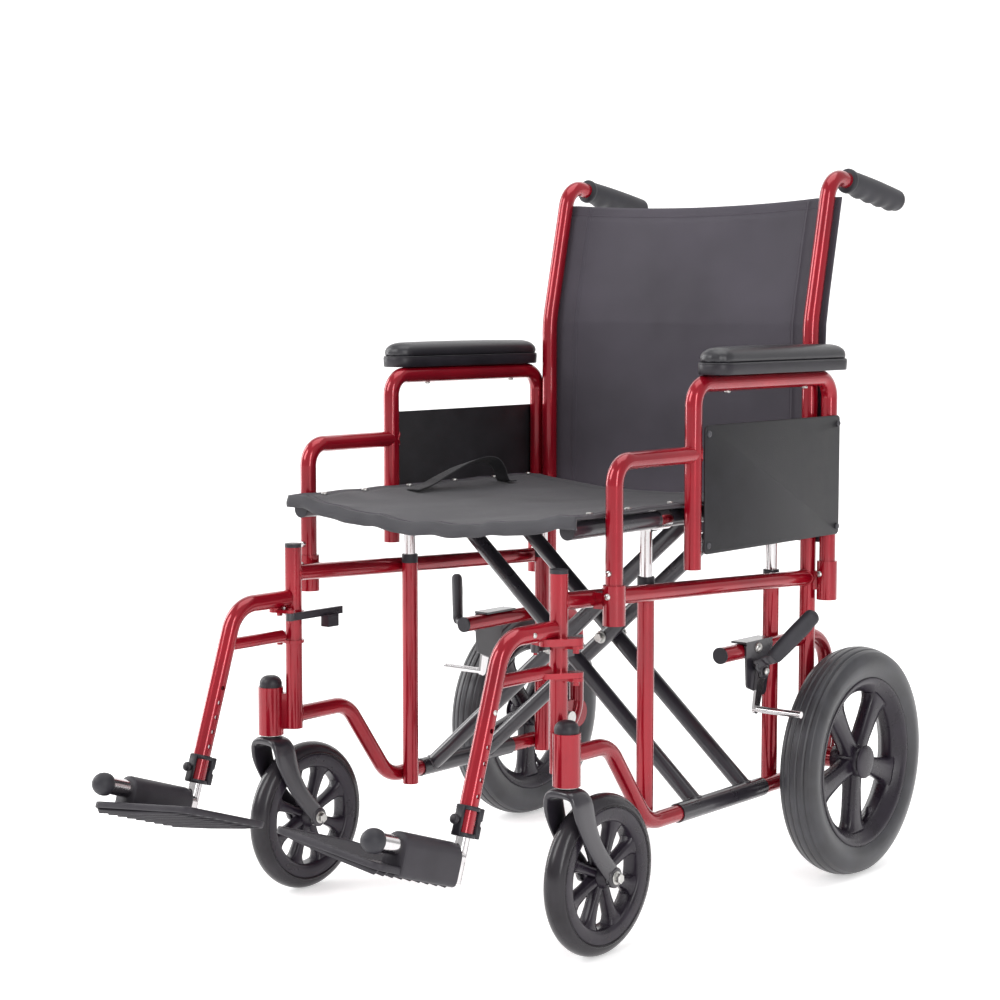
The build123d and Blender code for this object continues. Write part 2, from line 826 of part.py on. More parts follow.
screw_z = (panel_z[0] + 10, panel_z[1] - 10)
with BuildPart() as arm_screws:
    for z in screw_z:
        for y in (panel_y[0] + 6, back(arm_rear)):
            with BuildSketch(Plane.YZ.offset(panel_x[1])):
                with Locations((y, z)):
                    Circle(4.0)
            extrude(amount=2.2)
write_pair(arm_screws, "arm_screws")

pad_low_z = arm_top_z + tube_radius
pad_x = back_half_width + 2 * free_gap + pad_width / 2  # outboard, clear of the cane and backrest
with BuildPart() as arm_pad:
    with BuildSketch(Plane.XY.offset(pad_low_z)):
        with Locations((pad_x, (back(pad_front) + back(pad_rear)) / 2)):
            RectangleRounded(pad_width, pad_rear - pad_front, 16.0)
    extrude(amount=pad_top_z - pad_low_z)
    fillet(arm_pad.faces().sort_by(Axis.Z)[-1].edges(), radius=9.0)
write_pair(arm_pad, "arm_pad")

# ---- swing-away leg rests --------------------------------------------------------------------
# The hanger turns on two short pins that drop through the lugs on the front post. Its leg
# leans forward, and the chrome foot tube telescopes out of it.
hanger_points = [
    (half_track, back(-tube_radius - hanger_end_gap), hanger_z),
    (half_track, back(-hanger_corner_ahead), hanger_z),
    tuple(on_leg(hanger_bottom_z)),
]
hanger_outside = bent_bar(hanger_points, [44.0], frame_tube)
slider_diameter = 18.0
leg_bore_diameter = slider_diameter + 2 * running_gap
leg_bore_top = on_leg(hanger_bottom_z) - down * (slider_inside + 14)
hanger_bore = rod(tuple(leg_bore_top), tuple(on_leg(hanger_bottom_z) + down), leg_bore_diameter)
strut_leg = on_leg(strut_z)
strut_bar = rod(
    (half_track, strut_leg.Y, strut_z), (half_track, back(-22), strut_z), strut_diameter
)
lug_root = (half_track + 4, back(-30), 8.0)
lug_tip = (pin_x, back(0), 9.0)
upper_plate_z = (upper_lug_z + lug_thickness + free_gap, hanger_z - 8)
lower_plate_z = (lower_lug_z + lug_thickness + free_gap, strut_z)
hanger_lugs = [link_plate([lug_root, lug_tip], z) for z in (upper_plate_z, lower_plate_z)]
latch_lug = link_plate(
    [(half_track, back(-30), 6.0), (latch_x, back(-latch_ahead), 6.0)],
    (upper_plate_z[0], upper_plate_z[0] + 4),
)
latch_pin_diameter = 5.0
latch_height = 10.0
latch_top_z = upper_plate_z[0] - free_gap
latch_pin = rod(
    (latch_x, back(-latch_ahead), latch_top_z - latch_height - 3),
    (latch_x, back(-latch_ahead), upper_plate_z[0] + 6),
    latch_pin_diameter,
)
pins = [
    rod((pin_x, back(0), plate[0] - lug_thickness - 6), (pin_x, back(0), plate[1]), pin_diameter)
    for plate in (upper_plate_z, lower_plate_z)
]
hole_pitch = 19.0
leg_holes = []
for index in range(5):
    hole_at = on_leg(hanger_bottom_z) - down * (46 + index * hole_pitch)
    leg_holes.append(
        rod(tuple(hole_at - Vector(20, 0, 0)), tuple(hole_at + Vector(20, 0, 0)), 6.0)
    )
with BuildPart() as hanger:
    add(hanger_outside)
    add(strut_bar)
    for shape in hanger_lugs:
        add(shape)
    add(latch_lug)
    add(hanger_bore, mode=Mode.SUBTRACT)
    for hole in leg_holes:
        add(hole, mode=Mode.SUBTRACT)
    add(latch_pin)
    for pin in pins:
        add(pin)
write_pair(hanger, "hanger")

latch_z = (latch_top_z - latch_height, latch_top_z)
latch_eye = rod(
    (latch_x, back(-latch_ahead), latch_z[0]), (latch_x, back(-latch_ahead), latch_z[1]), 11.0
)
latch_bar = block(
    (latch_x - 4.5, latch_x - 0.5), (back(-latch_ahead), back(latch_rear)), latch_z
)
latch_tab = block(
    (latch_x - 14, latch_x - 0.5), (back(34), back(54)), (latch_z[0] - 14, latch_z[0] + 2)
)
latch_hole = rod(
    (latch_x, back(-latch_ahead), latch_z[0]),
    (latch_x, back(-latch_ahead), latch_z[1]),
    latch_pin_diameter + 2 * running_gap,
)
with BuildPart() as hanger_latch:
    add(latch_eye)
    add(latch_bar)
    add(latch_tab)
    add(latch_hole, mode=Mode.SUBTRACT)
write_pair(hanger_latch, "hanger_latch")

# Plastic clamp on the foot of the hanger, and its knob.
clamp_length = 36.0
clamp_low = on_leg(hanger_bottom_z) + down * 2
clamp_high = clamp_low - down * clamp_length
clamp_ring = 5.0
clamp_diameter = 28.0
clamp_rings = [
    rod(tuple(clamp_low), tuple(clamp_low - down * clamp_ring), clamp_diameter),
    rod(tuple(clamp_high + down * clamp_ring), tuple(clamp_high), clamp_diameter),
]
clamp_middle = (clamp_low + clamp_high) * 0.5
spine_plane = Plane(origin=clamp_low, x_dir=(1, 0, 0), z_dir=down * -1)
clamp_hole = rod(tuple(clamp_low + down), tuple(clamp_high - down), frame_tube)
knob_root = clamp_middle + forward * (tube_radius + free_gap)
knob_shaft_end = knob_root + forward * 6
knob_end = knob_shaft_end + forward * 7
knob_shaft = 6.0
knob_hole = rod(tuple(clamp_middle), tuple(knob_end), knob_shaft + 2 * running_gap)
with BuildPart() as foot_clamp:
    for shape in clamp_rings:
        add(shape)
    with BuildSketch(spine_plane):
        with Locations((0, 13)):
            RectangleRounded(20, 14, 3)
        with Locations((0, -12.5)):
            RectangleRounded(12, 6, 2)
    extrude(amount=clamp_length)
    add(clamp_hole, mode=Mode.SUBTRACT)
    add(knob_hole, mode=Mode.SUBTRACT)
write_pair(foot_clamp, "foot_clamp")

with BuildPart() as foot_knob:
    add(rod(tuple(knob_root), tuple(knob_shaft_end), knob_shaft))
    add(rod(tuple(knob_shaft_end), tuple(knob_end), 11.0))
write_pair(foot_knob, "foot_knob")

# Foot tube with its forward rod, the ball on the rod's end and the flip-up footplate.
rod_start = on_leg(rod_z)
slider_top = on_leg(hanger_bottom_z) - down * slider_inside
slider_foot = rod_start + down * slider_below_rod
rod_end = rod_start + forward * rod_length
ball_centre = rod_end + forward * (ball_radius * 0.55)
with BuildPart() as foot_slider:
    add(rod(tuple(slider_top), tuple(slider_foot), slider_diameter))
    add(rod(tuple(rod_start), tuple(rod_end), rod_diameter))
write_pair(foot_slider, "foot_slider")

ball_cut = rod(tuple(rod_start), tuple(rod_end), rod_diameter)
with BuildPart() as rod_ball:
    with Locations(tuple(ball_centre)):
        Sphere(ball_radius)
    add(ball_cut, mode=Mode.SUBTRACT)
write_pair(rod_ball, "rod_ball")

barrel_start = slider_diameter / 2 + 3.0
barrel_length = 100.0
section_plane = Plane(origin=rod_start + forward * barrel_start, x_dir=(1, 0, 0), z_dir=forward)
plate_slope = tan(radians(plate_rise))
inner_drop = plate_drop - plate_reach * plate_slope
outer_edge = barrel_radius - 2
rib_pitch = 26.0
with BuildPart() as footplate:
    with BuildSketch(section_plane):
        Circle(barrel_radius)
        with BuildLine():
            Polyline(
                (barrel_radius, 0),
                (outer_edge, -plate_drop - plate_thickness),
                (-outer_edge, -plate_drop - plate_thickness + outer_edge * plate_slope),
                (-barrel_radius, 0),
                close=True,
            )
        make_face()
    extrude(amount=barrel_length)
    with BuildSketch(section_plane):
        with BuildLine():
            Polyline(
                (outer_edge, -plate_drop),
                (-plate_reach, -inner_drop),
                (-plate_reach, -inner_drop - plate_thickness),
                (outer_edge, -plate_drop - plate_thickness),
                close=True,
            )
        make_face()
    extrude(amount=plate_length)
    for index in range(5):
        with BuildSketch(section_plane.offset(6 + index * rib_pitch)):
            with BuildLine():
                Polyline(
                    (outer_edge, -plate_drop - plate_thickness),
                    (-plate_reach, -inner_drop - plate_thickness),
                    (-plate_reach + 30, -inner_drop - plate_thickness - rib_depth * 0.7),
                    (outer_edge - 6, -plate_drop - plate_thickness - rib_depth),
                    close=True,
                )
            make_face()
        extrude(amount=3.0)
    with BuildSketch(section_plane):
        Circle(rod_diameter / 2 + running_gap)
    extrude(amount=plate_length, mode=Mode.SUBTRACT)
write_pair(footplate, "footplate")

# ---- brakes ----------------------------------------------------------------------------------
# A bracket bolted to the stub tube carries one pin; the hand lever and the shoe arm turn on it.
bracket_x = (half_track + tube_radius, half_track + tube_radius + 3)
arm_gap = 0.6
shoe_x = (bracket_x[1] + arm_gap, bracket_x[1] + arm_gap + 4)
lever_x = (shoe_x[1] + arm_gap, shoe_x[1] + arm_gap + 4)
brake_point = (back(brake_pivot_back), brake_pivot_z)
brake_pin_diameter = 8.0
bracket_side = side_plate(
    [
        (back(brake_pivot_back - 26), stub_z + tube_radius - 5.1, 7.0),
        (back(brake_pivot_back + 26), stub_z + tube_radius - 5.1, 7.0),
        (back(brake_pivot_back - 22), brake_pivot_z - 14, 8.0),
        (back(brake_pivot_back + 10), brake_pivot_z - 26, 8.0),
    ],
    bracket_x,
)
bracket_top = block(
    (half_track - 10, bracket_x[1]),
    (back(brake_pivot_back - 33), back(brake_pivot_back + 33)),
    (stub_z + tube_radius, stub_z + tube_radius + 3),
)
brake_pin = rod((bracket_x[0], *brake_point), (lever_x[1] + 2, *brake_point), brake_pin_diameter)
bracket_bolt = rod(
    (bracket_x[1], back(brake_pivot_back), stub_z + 2),
    (bracket_x[1] + 0.4, back(brake_pivot_back), stub_z + 2),
    12.0,
)
with BuildPart() as brake_bracket:
    add(bracket_side)
    add(bracket_top)
    add(brake_pin)
    add(bracket_bolt)
write_pair(brake_bracket, "brake_bracket")

shoe_end_x = wheel_x + 20
shoe_arm = side_plate(
    [(*brake_point, 10.0), (back(shoe_back), shoe_z, 6.5)],
    shoe_x,
    [(*brake_point, brake_pin_diameter / 2 + running_gap)],
)
shoe_bar = rod((shoe_x[0], back(shoe_back), shoe_z), (shoe_end_x, back(shoe_back), shoe_z), shoe_diameter)
with BuildPart() as brake_shoe:
    add(shoe_arm)
    add(shoe_bar)
write_pair(brake_shoe, "brake_shoe")

lever_elbow = (lever_x[1] + 28, back(brake_pivot_back) - 28, brake_pivot_z + 24)
lever_tip = (lever_x[1] + 64, back(brake_pivot_back) + 12, brake_pivot_z + 76)
lever_eye = side_plate(
    [(*brake_point, 10.0), (back(brake_pivot_back) - 16, brake_pivot_z + 12, 6.0)],
    lever_x,
    [(*brake_point, brake_pin_diameter / 2 + running_gap)],
)
lever_arm = rod(
    (lever_x[0] + 2, back(brake_pivot_back) - 18, brake_pivot_z + 13), lever_elbow, 8.0
)
lever_grip = rod(lever_elbow, lever_tip, 17.0)
with BuildPart() as brake_lever:
    add(lever_eye)
    add(lever_arm)
    add(lever_grip)
    with Locations(lever_elbow, lever_tip):
        Sphere(8.5)
write_pair(brake_lever, "brake_lever")
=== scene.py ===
import math

import bmesh
import bpy
from mathutils import Matrix, Vector, noise


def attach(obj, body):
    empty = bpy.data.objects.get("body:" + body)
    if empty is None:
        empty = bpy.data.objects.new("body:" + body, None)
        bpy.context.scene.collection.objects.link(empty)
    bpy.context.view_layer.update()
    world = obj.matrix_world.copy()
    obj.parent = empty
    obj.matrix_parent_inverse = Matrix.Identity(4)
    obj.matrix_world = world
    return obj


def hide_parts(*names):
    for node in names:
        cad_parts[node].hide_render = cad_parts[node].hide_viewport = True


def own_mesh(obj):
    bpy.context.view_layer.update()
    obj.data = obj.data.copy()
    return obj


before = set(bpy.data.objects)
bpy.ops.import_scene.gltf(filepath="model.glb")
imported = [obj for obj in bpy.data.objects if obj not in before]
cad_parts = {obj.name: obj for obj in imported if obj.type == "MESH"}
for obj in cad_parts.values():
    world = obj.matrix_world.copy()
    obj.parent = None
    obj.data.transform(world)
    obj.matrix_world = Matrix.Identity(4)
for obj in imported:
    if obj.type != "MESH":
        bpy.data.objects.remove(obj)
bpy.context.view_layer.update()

scene = bpy.context.scene

# ---- camera, floor and light ------------------------------------------------------------------
# The chair is seen from its front left, a little above seat height, on a white studio sweep.
# Two tall soft boxes draw the long highlights down the enamelled tubes.
mm = 0.001
post_y = -229.3  # front posts, in the frame that every piece shares


def back(distance):
    """Y in millimetres of a place a given distance behind the front posts."""
    return post_y + distance


def srgb(hex_colour):
    """Linear RGBA of an sRGB hex colour."""
    channels = [int(hex_colour[i:i + 2], 16) / 255 for i in (1, 3, 5)]
    return [c / 12.92 if c <= 0.04045 else ((c + 0.055) / 1.055) ** 2.4 for c in channels] + [1.0]


def node(tree, kind, inputs=None, **settings):
    """Adds a node, applies its settings, and sets or links its inputs by name or number."""
    made = tree.nodes.new(kind)
    for name, value in settings.items():
        setattr(made, name, value)
    for name, value in (inputs or {}).items():
        if isinstance(value, bpy.types.NodeSocket):
            tree.links.new(value, made.inputs[name])
        else:
            made.inputs[name].default_value = value
    return made


def new_material(name, **shader_values):
    """A material with an empty Principled shader, and its tree to add to."""
    made = bpy.data.materials.new(name)
    made.use_nodes = True
    made.node_tree.nodes.clear()
    tree = made.node_tree
    shader = node(tree, "ShaderNodeBsdfPrincipled", shader_values)
    node(tree, "ShaderNodeOutputMaterial", {"Surface": shader.outputs["BSDF"]})
    return made, tree, shader


camera_data = bpy.data.cameras.new("camera")
camera = bpy.data.objects.new("camera", camera_data)
scene.collection.objects.link(camera)
camera_data.lens = 78.2
camera_data.sensor_width = 36.0
camera_data.clip_end = 60.0
camera.location = Vector((1794.2, back(-2041.8), 793.3)) * mm
aim = Vector((0.0, back(161.0), 536.0)) * mm
camera.rotation_euler = (aim - camera.location).to_track_quat("-Z", "Y").to_euler()
scene.camera = camera
scene.view_settings.view_transform = "Standard"

world = bpy.data.worlds.new("studio")
world.use_nodes = True
world.node_tree.nodes["Background"].inputs["Color"].default_value = (1.0, 1.0, 1.0, 1.0)
world.node_tree.nodes["Background"].inputs["Strength"].default_value = 0.62
scene.world = world

sweep_rows = [(-14.0, 0.0), (1.2, 0.0), (2.2, 0.0), (3.2, 0.0), (4.4, 0.12)]
sweep_rows += [(5.4, 0.5), (6.1, 1.3), (6.4, 2.6), (6.5, 9.0)]
sweep_mesh = bpy.data.meshes.new("floor")
toward_back = Vector((-math.sin(math.radians(39.2)), math.cos(math.radians(39.2)), 0))
across = Vector((toward_back.y, -toward_back.x, 0))
sweep_points = []
for run, height in sweep_rows:
    for side in (-14.0, 14.0):
        sweep_points.append(toward_back * run + across * side + Vector((0, 0, height)))
sweep_faces = [(2 * i, 2 * i + 1, 2 * i + 3, 2 * i + 2) for i in range(len(sweep_rows) - 1)]
sweep_mesh.from_pydata(sweep_points, [], sweep_faces)
floor = bpy.data.objects.new("floor", sweep_mesh)
scene.collection.objects.link(floor)
smoothing = floor.modifiers.new("smooth", "SUBSURF")
smoothing.levels = smoothing.render_levels = 3
sweep_paint, tree, shader = new_material("studio_sweep_paint", Roughness=0.9)
shader.inputs["Specular IOR Level"].default_value = 0.0
fade = node(tree, "ShaderNodeTexNoise", {"Scale": 0.4, "Detail": 1.0})
tone = node(tree, "ShaderNodeMix", {0: fade.outputs["Fac"]}, data_type="RGBA")
tone.inputs[6].default_value = srgb("#f6f5f5")
tone.inputs[7].default_value = srgb("#fafafa")
tree.links.new(tone.outputs[2], shader.inputs["Base Color"])
shader.inputs["Emission Color"].default_value = (1.0, 1.0, 1.0, 1.0)
shader.inputs["Emission Strength"].default_value = 0.42
sweep_mesh.materials.append(sweep_paint)

soft_boxes = [
    ("key_box", (-1.6, -3.4, 3.0), (1.6, 2.6), 84.0),
    ("near_strip", (3.2, -1.6, 1.6), (0.7, 2.6), 46.0),
    ("far_strip", (-3.0, -0.6, 1.5), (0.8, 2.6), 42.0),
    ("top_box", (0.2, 0.4, 3.6), (2.6, 2.6), 44.0),
]
for name, place, (width, height), power in soft_boxes:
    lamp = bpy.data.lights.new(name, "AREA")
    lamp.shape = "RECTANGLE"
    lamp.size = width
    lamp.size_y = height
    lamp.energy = power
    lamp_object = bpy.data.objects.new(name, lamp)
    lamp_object.location = place
    lamp_object.rotation_euler = (Vector((0, 0, 0.45)) - Vector(place)).to_track_quat("-Z", "Y").to_euler()
    scene.collection.objects.link(lamp_object)


# ---- enamelled side frames --------------------------------------------------------------------
# Bent steel tube, welded with a bead at every joint and finished in glossy cherry-red enamel.
# The frame, canes, armrest tubes and leg rests share the finish; rivets are zinc-plated.
def paint(node_names, made):
    """Gives the fixed frame's nodes a material."""
    for name in node_names:
        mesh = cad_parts[name].data
        mesh.materials.clear()
        mesh.materials.append(made)


def both(*names):
    """The left-hand and right-hand names of some pieces."""
    return [f"{name}_{side}" for name in names for side in ("left", "right")]


# Gloss enamel on steel: a clear coat over a deep candy red, with faint orange peel.
cherry_enamel, tree, shader = new_material("cherry_gloss_enamel", Metallic=0.35, Roughness=0.2)
shader.inputs["Coat Weight"].default_value = 0.55
shader.inputs["Specular IOR Level"].default_value = 0.3
shader.inputs["Coat Roughness"].default_value = 0.05
place = node(tree, "ShaderNodeTexCoord")
depth = node(tree, "ShaderNodeTexNoise", {"Vector": place.outputs["Object"], "Scale": 9.0, "Detail": 3.0})
ramp = node(tree, "ShaderNodeValToRGB", {"Fac": depth.outputs["Fac"]})
ramp.color_ramp.elements[0].position = 0.3
ramp.color_ramp.elements[0].color = srgb("#82061a")
ramp.color_ramp.elements[1].position = 0.7
ramp.color_ramp.elements[1].color = srgb("#9e0a20")
tree.links.new(ramp.outputs["Color"], shader.inputs["Base Color"])
peel = node(tree, "ShaderNodeTexNoise", {"Vector": place.outputs["Object"], "Scale": 420.0, "Detail": 2.0})
peel_bump = node(
    tree, "ShaderNodeBump", {"Height": peel.outputs["Fac"], "Strength": 0.05, "Distance": 0.0006}
)
tree.links.new(peel_bump.outputs["Normal"], shader.inputs["Normal"])
paint(both("side_frame", "back_cane", "arm_frame", "hanger"), cherry_enamel)

# Bright zinc plate on rivets, screws and nuts: a cool grey metal with a brushed, uneven gloss.
bright_zinc, tree, shader = new_material("bright_zinc_plate", Metallic=1.0)
place = node(tree, "ShaderNodeTexCoord")
cloud = node(tree, "ShaderNodeTexNoise", {"Vector": place.outputs["Object"], "Scale": 160.0, "Detail": 4.0})
zinc_tone = node(tree, "ShaderNodeValToRGB", {"Fac": cloud.outputs["Fac"]})
zinc_tone.color_ramp.elements[0].color = srgb("#a8a7a4")
zinc_tone.color_ramp.elements[1].color = srgb("#dad9d6")
zinc_gloss = node(
    tree,
    "ShaderNodeMapRange",
    {"Value": cloud.outputs["Fac"], "To Min": 0.2, "To Max": 0.42},
)
tree.links.new(zinc_tone.outputs["Color"], shader.inputs["Base Color"])
tree.links.new(zinc_gloss.outputs["Result"], shader.inputs["Roughness"])


def mesh_object(name, points, faces, made=None, smooth=True):
    """Mesh object from points in millimetres, its faces turned outwards."""
    mesh = bpy.data.meshes.new(name)
    mesh.from_pydata([Vector(point) * mm for point in points], [], faces)
    shell = bmesh.new()
    shell.from_mesh(mesh)
    bmesh.ops.remove_doubles(shell, verts=shell.verts, dist=1e-6)
    bmesh.ops.recalc_face_normals(shell, faces=shell.faces)
    shell.to_mesh(mesh)
    shell.free()
    if made is not None:
        mesh.materials.append(made)
    for polygon in mesh.polygons:
        polygon.use_smooth = smooth
    piece = bpy.data.objects.new(name, mesh)
    scene.collection.objects.link(piece)
    return piece


def turned(name, profile, centre, axis, made, steps=48, closed=False):
    """Solid of revolution: profile pairs (along the axis, radius) in millimetres."""
    axis = Vector(axis).normalized()
    side = axis.orthogonal().normalized()
    third = axis.cross(side)
    points = []
    faces = []
    for along, radius in profile:
        for step in range(steps):
            angle = 2 * math.pi * step / steps
            around = side * math.cos(angle) + third * math.sin(angle)
            points.append(Vector(centre) + axis * along + around * radius)
    rows = len(profile)
    for row in range(rows if closed else rows - 1):
        after = (row + 1) % rows
        for step in range(steps):
            following = (step + 1) % steps
            faces.append(
                (
                    row * steps + step,
                    row * steps + following,
                    after * steps + following,
                    after * steps + step,
                )
            )
    if not closed:
        faces.append(tuple(range(steps)))
        faces.append(tuple((rows - 1) * steps + step for step in range(steps)))
    return mesh_object(name, points, faces, made)


def joined(name, pieces):
    """Joins mesh objects into one, keeping their materials."""
    whole = bmesh.new()
    materials = []
    for piece in pieces:
        start = len(whole.faces)
        whole.from_mesh(piece.data)
        whole.faces.ensure_lookup_table()
        slots = []
        for made in piece.data.materials:
            if made not in materials:
                materials.append(made)
            slots.append(materials.index(made))
        for face in whole.faces[start:]:
            face.material_index = slots[face.material_index] if slots else 0
        bpy.data.objects.remove(piece)
    mesh = bpy.data.meshes.new(name)
    whole.to_mesh(mesh)
    whole.free()
    for made in materials:
        mesh.materials.append(made)
    whole_object = bpy.data.objects.new(name, mesh)
    scene.collection.objects.link(whole_object)
    return whole_object


def grown(name, host, tree, values, keep_host=False):
    """Runs a Geometry Nodes tree on a host mesh and returns its result as a plain mesh object."""
    modifier = host.modifiers.new("grow", "NODES")
    modifier.node_group = tree
    for item in tree.interface.items_tree:
        if item.item_type == "SOCKET" and item.in_out == "INPUT" and item.name in values:
            modifier[item.identifier] = values[item.name]
    host.update_tag()
    bpy.context.view_layer.update()
    evaluated = host.evaluated_get(bpy.context.evaluated_depsgraph_get())
    mesh = bpy.data.meshes.new_from_object(evaluated)
    host.modifiers.remove(modifier)
    if not keep_host:
        bpy.data.objects.remove(host)
    made = bpy.data.objects.new(name, mesh)
    scene.collection.objects.link(made)
    return made


def mirrored(piece, name):
    """Mirror image of a finished left-hand piece for the right-hand side."""
    mesh = piece.data.copy()
    mesh.name = name
    mesh.transform(Matrix.Scale(-1, 4, (1, 0, 0)))
    mesh.flip_normals()
    twin = bpy.data.objects.new(name, mesh)
    scene.collection.objects.link(twin)
    return twin


def fit(piece, body, slot, *stands_for):
    """Fixes a finished piece to its body and hides the nodes it stands for; its slot argument is not used.
    """
    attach(piece, body)
    if stands_for:
        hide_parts(*stands_for)
    return piece


def fit_pair(piece, name, body, slot, *stands_for):
    """Fixes a left-hand piece and its mirror image; names and bodies take _left and _right."""
    twin = mirrored(piece, f"{name}_right")
    piece.name = f"{name}_left"
    for made, side in ((piece, "left"), (twin, "right")):
        side_body = f"{side}_frame" if body == "frame" else f"{body}_{side}"
        fit(made, side_body, slot, *[f"{each}_{side}" for each in stands_for])
    return piece, twin


def new_tree(name, inputs):
    """An empty Geometry Nodes tree with a geometry input, named inputs and a geometry output."""
    made = bpy.data.node_groups.new(name, "GeometryNodeTree")
    made.interface.new_socket("Geometry", in_out="INPUT", socket_type="NodeSocketGeometry")
    made.interface.new_socket("Geometry", in_out="OUTPUT", socket_type="NodeSocketGeometry")
    for input_name, kind, value in inputs:
        socket = made.interface.new_socket(input_name, in_out="INPUT", socket_type=kind)
        if value is not None:
            socket.default_value = value
    return made, made.nodes.new("NodeGroupInput")


def end_tree(tree, geometry, given):
    """Ends a tree: instances made real, given its material, and sent out."""
    real = node(tree, "GeometryNodeRealizeInstances", {"Geometry": geometry})
    coated = node(
        tree,
        "GeometryNodeSetMaterial",
        {"Geometry": real.outputs["Geometry"], "Material": given.outputs["Finish"]},
    )
    node(tree, "NodeGroupOutput", {0: coated.outputs["Geometry"]})


# A weld bead: a thin ring of overlapping ripples laid round the joint of two tubes.
bead_tree, given = new_tree(
    "weld_bead",
    [
        ("Bead Radius", "NodeSocketFloat", 0.0016),
        ("Ripple Pitch", "NodeSocketFloat", 0.0022),
        ("Finish", "NodeSocketMaterial", None),
    ],
)
bead_line = node(bead_tree, "GeometryNodeMeshToCurve", {"Mesh": given.outputs["Geometry"]})
bead_path = node(
    bead_tree,
    "GeometryNodeResampleCurve",
    {"Curve": bead_line.outputs["Curve"], "Length": given.outputs["Ripple Pitch"]},
    mode="LENGTH",
)
bead_index = node(bead_tree, "GeometryNodeInputIndex")
bead_wave = node(bead_tree, "ShaderNodeMath", {0: bead_index.outputs[0], 1: 2.0}, operation="MODULO")
bead_swell = node(
    bead_tree,
    "ShaderNodeMapRange",
    {"Value": bead_wave.outputs[0], "To Min": 0.82, "To Max": 1.12},
)
bead_radius = node(
    bead_tree,
    "ShaderNodeMath",
    {0: bead_swell.outputs["Result"], 1: given.outputs["Bead Radius"]},
    operation="MULTIPLY",
)
bead_round = node(bead_tree, "GeometryNodeCurvePrimitiveCircle", {"Resolution": 8, "Radius": 1.0})
bead_mesh = node(
    bead_tree,
    "GeometryNodeCurveToMesh",
    {
        "Curve": bead_path.outputs["Curve"],
        "Profile Curve": bead_round.outputs["Curve"],
        "Scale": bead_radius.outputs[0],
    },
)
bead_smooth = node(bead_tree, "GeometryNodeSetShadeSmooth", {"Geometry": bead_mesh.outputs["Mesh"]})
end_tree(bead_tree, bead_smooth.outputs["Geometry"], given)


def joint_ring(branch_at, branch_along, branch_radius, main_at, main_along, main_radius):
    """Closed line where a branch tube's wall meets the wall of the main tube it is welded to."""
    along = Vector(branch_along).normalized()
    main = Vector(main_along).normalized()
    side = along.orthogonal().normalized()
    third = along.cross(side)
    line = []
    for step in range(48):
        angle = 2 * math.pi * step / 48
        start = Vector(branch_at) + (side * math.cos(angle) + third * math.sin(angle)) * branch_radius
        offset = start - Vector(main_at)
        offset -= main * offset.dot(main)
        run = along - main * along.dot(main)
        a = run.dot(run)
        b = 2 * offset.dot(run)
        c = offset.dot(offset) - main_radius ** 2
        inside = max(b * b - 4 * a * c, 0.0)
        line.append(start + along * ((-b + math.sqrt(inside)) / (2 * a)))
    return line


tube_radius = 11.1
branch_radius = 10.8
half_track = 222.0
cane_x = 228.0
arm_x = 256.0
upright = (0, 0, 1)
side_run = Vector((cane_x - half_track, 560.0, -25.0)).normalized()


def side_tube_at(distance):
    """Point on the sloping side tube's centre line."""
    share = distance / 560.0
    return Vector((half_track + (cane_x - half_track) * share, back(distance), 438.0 - 25.0 * share))


weld_lines = [
    joint_ring(side_tube_at(0), side_run, branch_radius, (half_track, back(0), 0), upright, tube_radius),
    joint_ring(side_tube_at(560), -side_run, branch_radius, (cane_x, back(560), 0), upright, tube_radius),
    joint_ring(
        (half_track, back(0), 248), (0, 1, 0), branch_radius, (half_track, back(0), 0), upright, tube_radius
    ),
]


def beads(name, lines, made):
    """Weld beads along closed lines of points in millimetres."""
    points = []
    edges = []
    for line in lines:
        first = len(points)
        points += [Vector(point) * mm for point in line]
        edges += [(first + i, first + (i + 1) % len(line)) for i in range(len(line))]
    mesh = bpy.data.meshes.new(name)
    mesh.from_pydata(points, edges, [])
    host = bpy.data.objects.new(name, mesh)
    scene.collection.objects.link(host)
    return grown(name, host, bead_tree, {"Finish": made})


frame_beads = beads("frame_beads", weld_lines, cherry_enamel)
fit_pair(frame_beads, "weld_beads", "frame", "red_enamel")

# ---- fasteners --------------------------------------------------------------------------------
# Rivets, pan-head screws and hex nuts, turned or forged from steel and zinc-plated. One tree
# sets a fastener on every marked place, square to the surface it holds.
fastener_tree, given = new_tree(
    "set_fasteners",
    [
        ("Fastener", "NodeSocketObject", None),
        ("Size", "NodeSocketFloat", 1.0),
        ("Finish", "NodeSocketMaterial", None),
    ],
)
facing = node(fastener_tree, "GeometryNodeInputNamedAttribute", {"Name": "facing"}, data_type="FLOAT_VECTOR")
turn = node(
    fastener_tree,
    "FunctionNodeAlignRotationToVector",
    {"Vector": facing.outputs["Attribute"]},
    axis="Z",
)
shape_of = node(fastener_tree, "GeometryNodeObjectInfo", {"Object": given.outputs["Fastener"]})
size_of = node(fastener_tree, "ShaderNodeCombineXYZ", {i: given.outputs["Size"] for i in range(3)})
placed = node(
    fastener_tree,
    "GeometryNodeInstanceOnPoints",
    {
        "Points": given.outputs["Geometry"],
        "Instance": shape_of.outputs["Geometry"],
        "Rotation": turn.outputs["Rotation"],
        "Scale": size_of.outputs[0],
    },
)
end_tree(fastener_tree, placed.outputs["Instances"], given)


def fastened(name, places, shape, size, made):
    """Fasteners of one shape on places given as (point in millimetres, outward direction)."""
    mesh = bpy.data.meshes.new(name)
    mesh.from_pydata([Vector(point) * mm for point, _ in places], [], [])
    attribute = mesh.attributes.new("facing", "FLOAT_VECTOR", "POINT")
    for i, (_, direction) in enumerate(places):
        attribute.data[i].vector = Vector(direction).normalized()
    host = bpy.data.objects.new(name, mesh)
    scene.collection.objects.link(host)
    return grown(name, host, fastener_tree, {"Fastener": shape, "Size": size, "Finish": made})


